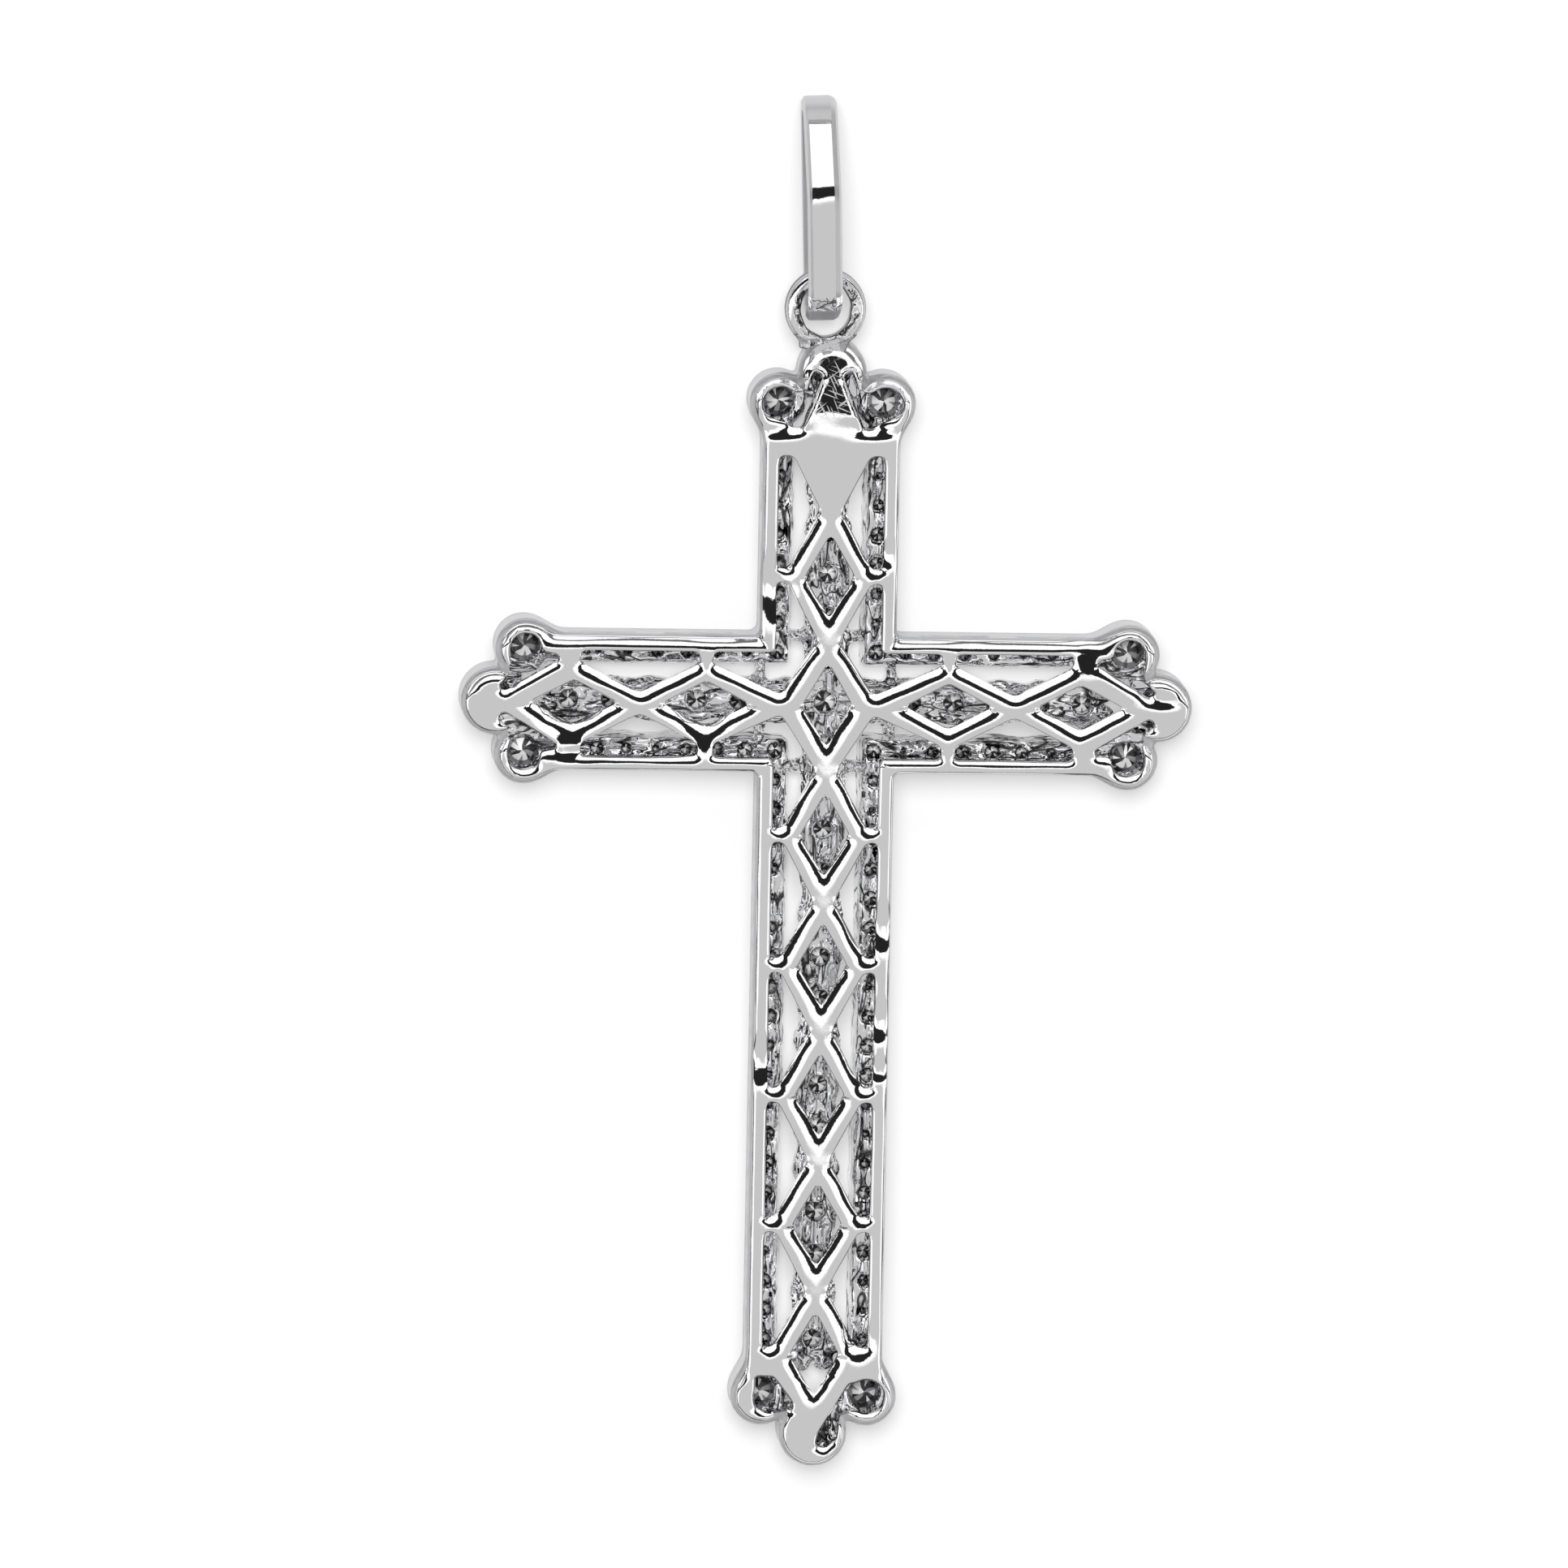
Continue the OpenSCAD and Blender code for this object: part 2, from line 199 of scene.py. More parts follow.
def tip_u(arm):
    return ARMS[arm][2] - TIP_R


def lobe_u(arm):
    return tip_u(arm) - ARMS[arm][3]


def quarter_turn(arm):
    """Cosine and sine of an arm's turn."""
    a = math.radians(ARMS[arm][1])
    return round(math.cos(a)), round(math.sin(a))


def turned(points, arm):
    """Points drawn along +X, turned to lie along an arm."""
    c, s = quarter_turn(arm)
    return [(x * c - y * s, x * s + y * c) for x, y in points]


def along_arm(x, y, arm):
    """Distance along an arm and across it."""
    c, s = quarter_turn(arm)
    return x * c + y * s, -x * s + y * c


def softened(points, r, steps=5):
    """An outline with each corner rounded off over the length r, or over a length of its own."""
    out, n = [], len(points)
    p = np.array(points, float)
    r = np.broadcast_to(r, n)
    for i in range(n):
        here, before, after = p[i], p[i - 1], p[(i + 1) % n]
        reach_a = min(r[i], 0.48 * np.linalg.norm(before - here))
        reach_b = min(r[i], 0.48 * np.linalg.norm(after - here))
        a = here + reach_a * (before - here) / np.linalg.norm(before - here)
        b = here + reach_b * (after - here) / np.linalg.norm(after - here)
        for k in range(steps + 1):
            t = k / steps
            out.append((1 - t) ** 2 * a + 2 * t * (1 - t) * here + t * t * b)
    return np.array(out)


def outline_gap(x, y, points):
    """How far each place is outside a closed outline, negative inside it."""
    best = np.full(x.shape, 1e9)
    inside = np.zeros(x.shape, bool)
    for (ax, ay), (bx, by) in zip(points, np.roll(points, -1, axis=0)):
        ex, ey = bx - ax, by - ay
        wx, wy = x - ax, y - ay
        t = np.clip((wx * ex + wy * ey) / (ex * ex + ey * ey + 1e-18), 0, 1)
        best = np.minimum(best, (wx - t * ex) ** 2 + (wy - t * ey) ** 2)
        if ay != by:
            inside ^= ((ay > y) != (by > y)) & (x < ex * (y - ay) / ey + ax)
    gap = np.sqrt(best)
    return np.where(inside, -gap, gap)


def blended_max(a, b, k):
    """The larger of two fields, with the crease between them filled over the width k."""
    h = np.maximum(k - np.abs(a - b), 0) / k
    return np.maximum(a, b) + h * h * k / 4


def cross_field(x, y, inset, lobe_inset, tip_inset):
    """Distance inside the cross's outline, pulled in along the arms and round the lobes."""
    half = ARM_W / 2 - inset
    across = np.minimum(half - np.abs(y), lobe_u(0) - np.abs(x))
    along = np.minimum(half - np.abs(x), np.minimum(lobe_u(1) - y, y + lobe_u(3)))
    field = blended_max(across, along, CROSSING_FILLET)
    for arm in range(4):
        u, v = along_arm(x, y, arm)
        side = np.abs(v)
        lobe = LOBE_R - lobe_inset - np.hypot(u - lobe_u(arm), side - LOBE_OFFSET)
        tip = TIP_R - tip_inset - np.hypot(u - tip_u(arm), v)
        run = math.hypot(ARMS[arm][3], LOBE_OFFSET)
        slope = ((tip_u(arm) - inset - u) * LOBE_OFFSET - side * ARMS[arm][3]) / run
        wedge = np.minimum(slope, np.minimum(u - lobe_u(arm) + WEDGE_BACK, LOBE_OFFSET - side))
        head = blended_max(blended_max(tip, wedge, LOBE_FILLET), lobe, LOBE_FILLET)
        field = blended_max(field, head, HEAD_FILLET)
    return field


class Hole:
    """An opening: a closed outline, with or without a round hole joined to it. lozenge is its middle and
    its half-sizes when it is one."""

    def __init__(self, points, disc=None, lozenge=None):
        self.points = np.array(points)
        self.disc = disc
        self.lozenge = lozenge
        spans = [self.points.min(0), self.points.max(0)]
        if disc:
            spans += [np.array(disc[:2]) - disc[2], np.array(disc[:2]) + disc[2]]
        self.low, self.high = np.min(spans, axis=0), np.max(spans, axis=0)

    def near(self, x, y):
        return ((x > self.low[0] - REACH) & (x < self.high[0] + REACH)
                & (y > self.low[1] - REACH) & (y < self.high[1] + REACH))

    def gap(self, x, y):
        gap = outline_gap(x, y, self.points)
        if self.disc:
            cx, cy, r = self.disc
            gap = -blended_max(-gap, r - np.hypot(x - cx, y - cy), SLOT_FILLET)
        return gap

    def edge(self, x, y):
        """The gap, drawn out to a point beyond the ends of a lozenge."""
        gap = self.gap(x, y)
        if self.lozenge:
            cx, cy, half_x, half_y = self.lozenge
            pointed = (np.abs(x - cx) / half_x + np.abs(y - cy) / half_y - 1) * half_x * half_y
            gap = gap * (1 - POINTEDNESS) + POINTEDNESS * pointed / math.hypot(half_x, half_y)
        return gap


def strut_growth(lattice):
    """How many times larger than its opening a lozenge is with the struts round it."""
    half_u, half_v = lattice[3], lattice[4]
    return 1 + STRUT_W * math.hypot(half_u, half_v) / (half_u * half_v)


def strut_v(lattice, g):
    """How far across the arm the struts round a lozenge reach, at the distance g from its middle."""
    growth = strut_growth(lattice)
    return lattice[4] * growth * (1 - g / (lattice[3] * growth))


def lozenge(u, half_u, half_v):
    return softened([(u + half_u, 0), (u, half_v), (u - half_u, 0), (u, -half_v)], CORNER_SOFT)


def lattice_openings():
    """Every opening of the gallery."""
    edge = ARM_W / 2 - GALLERY_INSET - STRIP_W
    g = JUNCTION_HALF
    holes = [Hole(lozenge(0, *CENTRE_LOZENGE), None, (0, 0, *CENTRE_LOZENGE))]
    for arm, lattice in enumerate(LATTICES):
        first, pitch, count, half_u, half_v = lattice
        for k in range(count):
            middle = turned([(first + k * pitch, 0)], arm)[0]
            halves = (half_u, half_v) if arm % 2 == 0 else (half_v, half_u)
            outline = turned(lozenge(first + k * pitch, half_u, half_v), arm)
            holes.append(Hole(outline, None, (*middle, *halves)))
        for k in range(count - 1):
            start, end = first + k * pitch + g, first + (k + 1) * pitch - g
            for side in (-1, 1):
                points = [(start, edge), (start, strut_v(lattice, g)), ((start + end) / 2, NODE_HALF),
                          (end, strut_v(lattice, g)), (end, edge)]
                points = softened([(u, side * v) for u, v in points], CORNER_SOFT)
                holes.append(Hole(turned(points, arm)))
    across, up = LATTICES[0], {1: LATTICES[1], -1: LATTICES[3]}
    for sy, lattice in up.items():
        for sx in (-1, 1):
            x_end, y_end = across[0] - g, lattice[0] - g
            points = [(edge, edge), (edge, y_end), (strut_v(lattice, g), y_end),
                      (NODE_HALF, lattice[0] / 2), ARM_NODE, (x_end, strut_v(across, g)), (x_end, edge)]
            holes.append(Hole(softened([(sx * x, sy * y) for x, y in points], CORNER_SOFT)))
    lattice = LATTICES[1]
    start = lattice[0] + g
    for side in (-1, 1):
        points = [(start, edge), (start, strut_v(lattice, g)), (lattice[0] + lattice[1] / 2, NODE_HALF),
                  WEDGE_END, (WEDGE_END[0], edge)]
        holes.append(Hole(turned(softened([(u, side * v) for u, v in points], CORNER_SOFT), 1)))
    for arm, side, points, r in SLOTS:
        u0, v0 = lobe_u(arm), side * LOBE_OFFSET
        shape = turned(softened([(u0 + u, v0 + side * v) for u, v in points], SLOT_SOFT), arm)
        (cx, cy), = turned([(u0, v0)], arm)
        holes.append(Hole(shape, (cx, cy, r)))
    return holes


class Rounding:
    """How far a face has dropped at a distance from an edge: as steep as given at the edge, and level
    past a width."""

    def __init__(self, steepest, width, power):
        self.d = np.linspace(-0.1, width, 600)
        angle = steepest * np.clip(1 - self.d / width, 0, 1) ** power
        slope = np.tan(np.radians(angle))
        step = self.d[1] - self.d[0]
        self.drop = np.concatenate([np.cumsum(slope[::-1])[::-1][1:] * step, [0]])

    def __call__(self, d, scale):
        return scale * np.interp(d / scale, self.d, self.drop)


def split(points, values, tris, level, place):
    """Cuts every triangle that a field's level crosses. place moves new points onto the level."""
    side = np.sign(np.where(np.abs(values - level) < 1e-9, 0, values - level))[tris]
    crossed = (side.max(1) > 0) & (side.min(1) < 0)
    whole, cut, side = tris[~crossed], tris[crossed], side[crossed]
    touching = (side == 0).any(1)
    turn = np.where(touching, (side == 0).argmax(1), 0)
    lone = np.where(side.sum(1) > 0, -1, 1)
    turn = np.where(touching, turn, (side == lone[:, None]).argmax(1))
    rows = np.arange(len(cut))[:, None]
    cut = cut[rows, (turn[:, None] + np.arange(3)) % 3]
    a, b, c = cut.T
    pairs = np.concatenate([
        np.stack([b[touching], c[touching]], 1),
        np.stack([a[~touching], b[~touching]], 1),
        np.stack([a[~touching], c[~touching]], 1)])
    pairs.sort(axis=1)
    edges, back = np.unique(pairs, axis=0, return_inverse=True)
    back = back.reshape(-1)
    va, vb = values[edges[:, 0]], values[edges[:, 1]]
    t = ((level - va) / (vb - va))[:, None]
    fresh = place(points[edges[:, 0]] * (1 - t) + points[edges[:, 1]] * t, level)
    base = len(points)
    points = np.concatenate([points, fresh])
    values = np.concatenate([values, np.full(len(fresh), float(level))])
    n_touch, n_rest = touching.sum(), (~touching).sum()
    m = base + back[:n_touch]
    p = base + back[n_touch:n_touch + n_rest]
    q = base + back[n_touch + n_rest:]
    ta, tb, tc = cut[touching].T
    ra, rb, rc = cut[~touching].T
    tris = np.concatenate([
        whole,
        np.stack([ta, tb, m], 1), np.stack([ta, m, tc], 1),
        np.stack([ra, p, q], 1), np.stack([p, rb, rc], 1), np.stack([p, rc, q], 1)])
    return points, values, tris


def gradient(field, points, e=0.004):
    """A field's slope at points, measured over the distance e to each side."""
    x, y = points.T
    return np.stack([(field(x + e, y) - field(x - e, y)) / (2 * e),
                     (field(x, y + e) - field(x, y - e)) / (2 * e)], 1)


def onto_level(field):
    """Moves points along a field's slope until they lie on a level."""
    def place(points, level):
        slope = gradient(field, points)
        off = level - field(*points.T)
        step = off[:, None] * slope / np.maximum((slope ** 2).sum(1), 0.2)[:, None]
        return points + np.clip(step, -0.03, 0.03)
    return place


def snapped(field, points, values, level, reach, fixed):
    """Moves grid points that are close to a level onto it, so that no slivers are cut."""
    near = (np.abs(values - level) < reach) & ~fixed
    points, values, fixed = points.copy(), values.copy(), fixed.copy()
    points[near] = onto_level(field)(points[near], level)
    values[near] = level
    fixed |= near
    return points, values, fixed


def plan_mesh(field, box, step, levels):
    """Triangles over the places where a field is positive, cut along its edge and along more levels.
    Gives the points, the triangles of the plain sheet and those of the sheet cut along all levels."""
    x0, y0, x1, y1 = box
    xs = np.arange(x0, x1 + step, step)
    ys = np.arange(y0, y1 + step, step)
    nx, ny = len(xs), len(ys)
    gx, gy = np.meshgrid(xs, ys)
    points = np.stack([gx.ravel(), gy.ravel()], 1)
    values = field(*points.T)
    i = (np.arange(ny - 1)[:, None] * nx + np.arange(nx - 1)).ravel()
    odd = ((i // nx + i % nx) % 2).astype(bool)
    a, b, c, d = i, i + 1, i + nx + 1, i + nx
    first = np.where(odd[:, None], np.stack([a, b, c], 1), np.stack([a, b, d], 1))
    second = np.where(odd[:, None], np.stack([a, c, d], 1), np.stack([b, c, d], 1))
    tris = np.concatenate([first, second])
    tris = tris[(values[tris] > -step).any(1)]
    used, tris = np.unique(tris, return_inverse=True)
    tris = tris.reshape(-1, 3)
    points, values = points[used], values[used]
    fixed = np.zeros(len(points), bool)
    points, values, fixed = snapped(field, points, values, 0.0, 0.3 * step, fixed)
    points, values, tris = split(points, values, tris, 0.0, onto_level(field))
    tris = tris[(values[tris] >= 0).all(1) & (values[tris] > 0).any(1)]
    plain = tris
    fixed = np.concatenate([fixed, np.ones(len(points) - len(fixed), bool)])
    for level in levels:
        points, values, fixed = snapped(field, points, values, level, 0.2 * step, fixed)
        points, values, tris = split(points, values, tris, level, onto_level(field))
        fixed = np.concatenate([fixed, np.ones(len(points) - len(fixed), bool)])
    return points, values, plain, tris


def rim_of(tris):
    """The directed edges that only one triangle uses."""
    edges = np.concatenate([tris[:, [0, 1]], tris[:, [1, 2]], tris[:, [2, 0]]])
    key = np.sort(edges, axis=1)
    _, first, count = np.unique(key, axis=0, return_index=True, return_counts=True)
    return edges[first[count == 1]]


def heights_and_normals(surface, points, up, e=0.004):
    """A surface's height at points, and its normals, which point down where up is false."""
    x, y = points.T
    z = surface(x, y)
    slope = gradient(surface, points, e)
    normals = np.stack([-slope[:, 0], -slope[:, 1], np.ones(len(z))], 1)
    normals /= np.linalg.norm(normals, axis=1)[:, None]
    return z, normals if up else -normals


class Shell:
    """Gathers vertices, triangles and a normal for each corner, in millimetres from the cross's middle."""

    def __init__(self):
        self.points, self.tris, self.normals, self.looks, self.count = [], [], [], [], 0

    def add(self, points, tris, normals, look=0):
        """normals has a row for each point, or one for each corner of each triangle."""
        points, tris, normals = np.asarray(points), np.asarray(tris), np.asarray(normals)
        if normals.ndim == 2:
            normals = normals[tris]
        self.points.append(points)
        self.tris.append(tris + self.count)
        self.normals.append(normals)
        self.looks.append(np.broadcast_to(look, len(tris)))
        self.count += len(points)

    def flat(self, points, faces, look=0):
        """Flat faces, each given by its corners in order."""
        points = np.asarray(points, float)
        corners, tris, normals = [], [], []
        for face in faces:
            p = points[list(face)]
            normal = np.cross(p[1] - p[0], p[2] - p[0])
            normal /= max(np.linalg.norm(normal), 1e-12)
            for k in range(1, len(p) - 1):
                tris.append((len(corners), len(corners) + k, len(corners) + k + 1))
                normals.append([normal] * 3)
            corners += list(p)
        self.add(corners, tris, normals, look)

    def ball(self, centre, r, look=0, rows=4, turns=8):
        """A bead of a few faces, which its normals show as round."""
        points = [(0, 0, 1)]
        for i in range(1, rows):
            a = math.pi * i / rows
            for k in range(turns):
                t = 2 * math.pi * k / turns
                points.append((math.sin(a) * math.cos(t), math.sin(a) * math.sin(t), math.cos(a)))
        points.append((0, 0, -1))
        last = len(points) - 1
        tris = [(0, 1 + k, 1 + (k + 1) % turns) for k in range(turns)]
        for i in range(rows - 2):
            a, b = 1 + i * turns, 1 + (i + 1) * turns
            for k in range(turns):
                n = (k + 1) % turns
                tris += [(a + k, b + k, b + n), (a + k, b + n, a + n)]
        a = last - turns
        tris += [(a + k, last, a + (k + 1) % turns) for k in range(turns)]
        points = np.array(points)
        self.add(points * r + centre, tris, points, look)

    def build(self, name, materials):
        """Joins points that coincide, drops triangles without area and makes the piece."""
        points = np.concatenate(self.points)
        tris = np.concatenate(self.tris)
        normals = np.concatenate(self.normals)
        looks = np.concatenate(self.looks)
        a, b, c = points[tris[:, 0]], points[tris[:, 1]], points[tris[:, 2]]
        real = np.linalg.norm(np.cross(b - a, c - a), axis=1) > 1e-8
        tris, normals, looks = tris[real], normals[real], looks[real]
        _, index, back = np.unique(np.round(points, 5), axis=0, return_index=True, return_inverse=True)
        tris = back.reshape(-1)[tris]
        whole = (tris[:, 0] != tris[:, 1]) & (tris[:, 1] != tris[:, 2]) & (tris[:, 2] != tris[:, 0])
        tris, normals, looks = tris[whole], normals[whole], looks[whole]
        used, tris = np.unique(tris, return_inverse=True)
        tris = tris.reshape(-1, 3)
        placed = (points[index][used] + [0, MIDDLE_Y, 0]) * MM
        return mesh_object(name, placed, tris, normals, looks, materials)


def mesh_object(name, points, tris, normals, looks, materials):
    """A piece with a normal for each corner, and a material from the list for each triangle."""
    mesh = bpy.data.meshes.new(name)
    mesh.from_pydata(points.tolist(), [], tris.tolist())
    for material in materials:
        mesh.materials.append(material)
    mesh.polygons.foreach_set("material_index", looks.astype(np.int32))
    mesh.polygons.foreach_set("use_smooth", np.ones(len(tris), bool))
    mesh.update()
    normals = normals.reshape(-1, 3)
    normals /= np.maximum(np.linalg.norm(normals, axis=1), 1e-9)[:, None]
    mesh.normals_split_custom_set(normals.tolist())
    piece = bpy.data.objects.new(name, mesh)
    bpy.context.scene.collection.objects.link(piece)
    return piece


def band(shell, slab, edges, z_top, z_low, rings, look=0, push=None, foot=None):
    """The side of a slab along some of its edges, as rings from its top to its foot.
    rings are (share of the height from the top, share of the way out to the foot)."""
    rim, back = np.unique(edges, return_inverse=True)
    back = back.reshape(-1, 2)
    n, flat, place = len(rim), slab.out[rim], slab.points[rim]
    lower = place if foot is None else foot[rim]
    loops = []
    for share, way in rings:
        z = z_top[rim] * (1 - share) + z_low[rim] * share
        here = place * (1 - way) + lower * way
        if push is not None and 0 < share < 1:
            here = here + flat * push(place[:, 0], place[:, 1], z)[:, None]
        loops.append(np.column_stack([here, z]))
    normals, faces = [], []
    around = np.zeros((n, 3))
    step = place[back[:, 1]] - place[back[:, 0]]
    np.add.at(around[:, :2], back[:, 0], step)
    np.add.at(around[:, :2], back[:, 1], step)
    for k in range(len(rings)):
        before, after = loops[max(k - 1, 0)], loops[min(k + 1, len(rings) - 1)]
        normal = np.cross(around, before - after)
        normal /= np.maximum(np.linalg.norm(normal, axis=1), 1e-12)[:, None]
        normal *= np.where((normal[:, :2] * flat).sum(1) < 0, -1, 1)[:, None]
        normals.append(normal)
        if k:
            a, b = (k - 1) * n + back[:, 0], (k - 1) * n + back[:, 1]
            c, d = k * n + back[:, 1], k * n + back[:, 0]
            faces += [np.stack([a, d, c], 1), np.stack([a, c, b], 1)]
    shell.add(np.concatenate(loops), np.concatenate(faces), np.concatenate(normals), look)


class Slab:
    """A solid between two surfaces, over the places where a field is positive."""

    def __init__(self, field, box, step, levels=()):
        self.points, self.values, self.plain, self.fine = plan_mesh(field, box, step, levels)
        self.rim = rim_of(self.plain)
        self.out_of_rim(field)

    def out_of_rim(self, field):
        """Finds the way out of the field at each point."""
        out = -gradient(field, self.points)
        self.out = out / np.maximum(np.linalg.norm(out, axis=1), 1e-9)[:, None]

    def face(self, shell, surface, up, tris, look=0):
        """Adds the upper or lower surface to a shell and gives its heights. look is a material's place in
        the list, or a function that gives it for each triangle's middle."""
        z, normals = heights_and_normals(surface, self.points, up, 0.012)
        if callable(look):
            look = look(*self.points[tris].mean(1).T)
        shell.add(np.column_stack([self.points, z]), tris if up else tris[:, ::-1], normals, look)
        return z

    def cut_again(self, tris, field, levels):
        """Cuts triangles of this slab along the levels of another field."""
        values = field(*self.points.T)
        for level in levels:
            self.points, values, tris = split(self.points, values, tris, level, onto_level(field))
        return tris

    def edges(self, wanted):
        """The rim's edges whose middles meet a condition."""
        middle = self.points[self.rim].mean(1)
        return self.rim[wanted(*middle.T)]


def smooth_step(low, high, x):
    """From 0 at low to 1 at high, level at both ends."""
    t = np.clip((x - low) / (high - low), 0, 1)
    return t * t * (3 - 2 * t)


def grain(x, y, size, seed):
    """Smooth random heights from -1 to 1 over the plane, with bumps of a given size."""
    u, v = x / size + 37.1 * seed, y / size - 11.7 * seed
    iu, iv = np.floor(u), np.floor(v)
    fu, fv = u - iu, v - iv
    fu, fv = fu * fu * (3 - 2 * fu), fv * fv * (3 - 2 * fv)

    def corner(a, b):
        return np.modf(np.sin(a * 127.1 + b * 311.7 + seed * 74.7) * 43758.5453)[0]

    low_row = corner(iu, iv) * (1 - fu) + corner(iu + 1, iv) * fu
    high_row = corner(iu, iv + 1) * (1 - fu) + corner(iu + 1, iv + 1) * fu
    return low_row * (1 - fv) + high_row * fv


def finished(piece, slot_name, *nodes):
    """Rides a piece on the pendant and hides the parts of the frame that it stands in for."""
    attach(piece, BODY)
    if nodes:
        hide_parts(*nodes)
    return piece


STRUT_EDGE = Rounding(47, 0.52, 1.15)
STRIP_EDGE = Rounding(60, 0.34, 1.2)
OUTER_EDGE = Rounding(70, 0.5, 1.3)
SLOT_EDGE = Rounding(70, 0.12, 1)
LIP_R = 0.08
BACK_SINK = 0.07     # how far the polished back lies under the top of the bounding box
UNDERSIDE_SINK = 0.04
MOST_DROP = 0.42     # how far down the worn edges go at most, and how far up a lip goes
MOST_LIP = 0.06
# Distances from the plate's edge at which its mesh is cut, so that it follows the rounding
ROUNDING_LEVELS = (0.05, 0.12, 0.2, 0.28)
# Waviness of the polished back. Columns: height, size, seed
WAVES = [(0.016, 1.7, 3), (0.005, 0.6, 5)]
PLAN_BOX = (-13.0, -27.1, 13.0, 13.0)
HOLES = lattice_openings()
# Places that the polish has tilted towards the bail. Columns: x, y, half-width, half-height, slope
TILTS = [
    (-8.94, -1.4, 0.85, 0.5, 0.36), (-4.41, -1.4, 0.62, 0.48, 0.36),
    (-9.2, 2.05, 0.85, 0.14, 0.38), (-3.9, 2.02, 0.85, 0.12, 0.38), (-1.94, 3.2, 0.5, 0.6, 0.33),
    (2.0, -8.4, 0.5, 0.42, 0.34), (1.94, -11.6, 0.5, 0.36, 0.34), (1.97, -13.1, 0.5, 0.22, 0.34),
    (-2.1, -13.1, 0.5, 0.42, 0.34), (9.1, 1.6, 0.5, 0.5, 0.36), (11.6, 0.1, 0.55, 0.16, 0.38),
    (1.54, -22.9, 0.4, 0.35, 0.37), (1.9, 4.95, 0.35, 0.25, 0.36), (-8.3, -2.0, 0.9, 0.14, 0.38),
    (-1.75, 9.42, 0.55, 0.15, 0.38), (1.45, 9.42, 0.7, 0.18, 0.38),
]
TILT_REACH = 2.6     # a tilt is worked out up to this far from its middle
TILT_FALL = 0.7      # how soon it ends at its sides
TILT_EASE = 0.75     # how much less the edges are rounded there
# Under the lower point of each upright lozenge the edge is less worn, over this width and height
APEX_W = 0.3
APEX_H = 0.45
APEX_EASE = 0.42
# The tilt round the places where the struts of an upright arm cross
NODE_SLOPE = 0.125
NODE_R = 0.85
# The end of the top arm: where it bends down, how much further on it bends again, and both slopes
HEAD_BEND = 9.45
SECOND_BEND = 0.72
FIRST_SLOPE = 0.13
SECOND_SLOPE = 0.13
HEAD_LIP = 0.07
LIP_PLACE = 0.13     # how far from an opening's edge its lip is highest
# Share of its rounding that an edge has where it faces away from the bail, and how far it has to face the
# bail to have more of it and all of it: the openings' edges and the plate's outer edge
LEAST_ROUNDING = 0.28
FACING = (-0.25, 0.65)
LEAST_OUTER_ROUNDING = 0.26
OUTER_FACING = (0.1, 0.7)
# Where the strip along an arm's edge ends: distances from the outer edge, and past the side lobes' centres
STRIP_INNER_END = (0.45, 0.75)
STRIP_HEAD_END = (-0.9, -0.3)
STEM_TIP = (-24.6, -23.6)      # where along the stem the outer edge's wear ends


def soft_ramp(t, soft):
    """Nothing below zero and t above it, with the bend between them spread over soft."""
    return soft * np.logaddexp(0, t / soft)


def head_slope(x, y):
    """How far the polished end of the top arm has come down towards the eyelet."""
    middle = 1 - smooth_step(1.0, 1.9, np.abs(x) - 0.5 * np.clip(y - 11.5, 0, 2))
    bend = HEAD_BEND + 0.1 * np.abs(x)
    second = bend + SECOND_BEND + 0.12 * grain(x, 0 * y, 0.45, 53)
    down = FIRST_SLOPE * soft_ramp(y - bend, 0.06) + SECOND_SLOPE * soft_ramp(y - second, 0.04)
    return down * middle * (y > 5)


def tilted(x, y, cx, cy, half_x, half_y, slope):
    """How far one tilted place has come down."""
    rise = slope * half_y * (1 + np.tanh((y - cy) / half_y))
    back = 1 - smooth_step(1.5 * half_y, 4 * half_y, y - cy)
    return rise * back * np.exp(-TILT_FALL * ((x - cx) / half_x) ** 2)


def node_places():
    """Where the lattice's struts cross between two lozenges of an upright arm."""
    places = [LATTICES[1][0] / 2 + 0.1, -LATTICES[3][0] / 2 + 0.1]
    places += [0.1 - LATTICES[3][0] - (k + 0.5) * LATTICES[3][1] for k in range(LATTICES[3][2] - 1)]
    return places


def sunk(x, y):
    """How far the whole plate has come down, at the tilted places, round the nodes and at the top end,
    and the share of the edges' rounding that is left there."""
    down = head_slope(x, y)
    kept = np.ones(x.shape)
    warped_x = x + 0.08 * grain(x, y, 0.7, 51)
    warped_y = y + 0.04 * grain(x, y, 0.7, 52)
    for row in TILTS:
        near = (np.abs(x - row[0]) < TILT_REACH) & (np.abs(y - row[1]) < TILT_REACH)
        down[near] += tilted(warped_x[near], warped_y[near], *row)
        away = ((x[near] - row[0]) / row[2]) ** 2 + ((y[near] - row[1]) / row[3]) ** 2
        kept[near] *= 1 - TILT_EASE * np.exp(-TILT_FALL * away)
    for hole in HOLES:
        if hole.lozenge and hole.lozenge[3] > hole.lozenge[2]:
            apex = hole.lozenge[1] - hole.lozenge[3]
            off_x, off_y = (x - hole.lozenge[0]) / APEX_W, (y - apex + APEX_H / 2) / APEX_H
            kept = kept * (1 - APEX_EASE * np.exp(-off_x ** 2 - off_y ** 2))
    for node in node_places():
        down = down + NODE_SLOPE * (y - node) * np.exp(-(x * x + (y - node) ** 2) / NODE_R ** 2)
    return down, kept


def facing(field, x, y):
    """A distance field's value, and how much the edge there faces the bail, from -1 to 1."""
    e = 0.1
    here = field(x, y)
    return here, (here - field(x, y + e)) / e


def edge_scale(front):
    """The polish has worn the edges that face the bail more than the others."""
    return LEAST_ROUNDING + (1 - LEAST_ROUNDING) * smooth_step(*FACING, front)


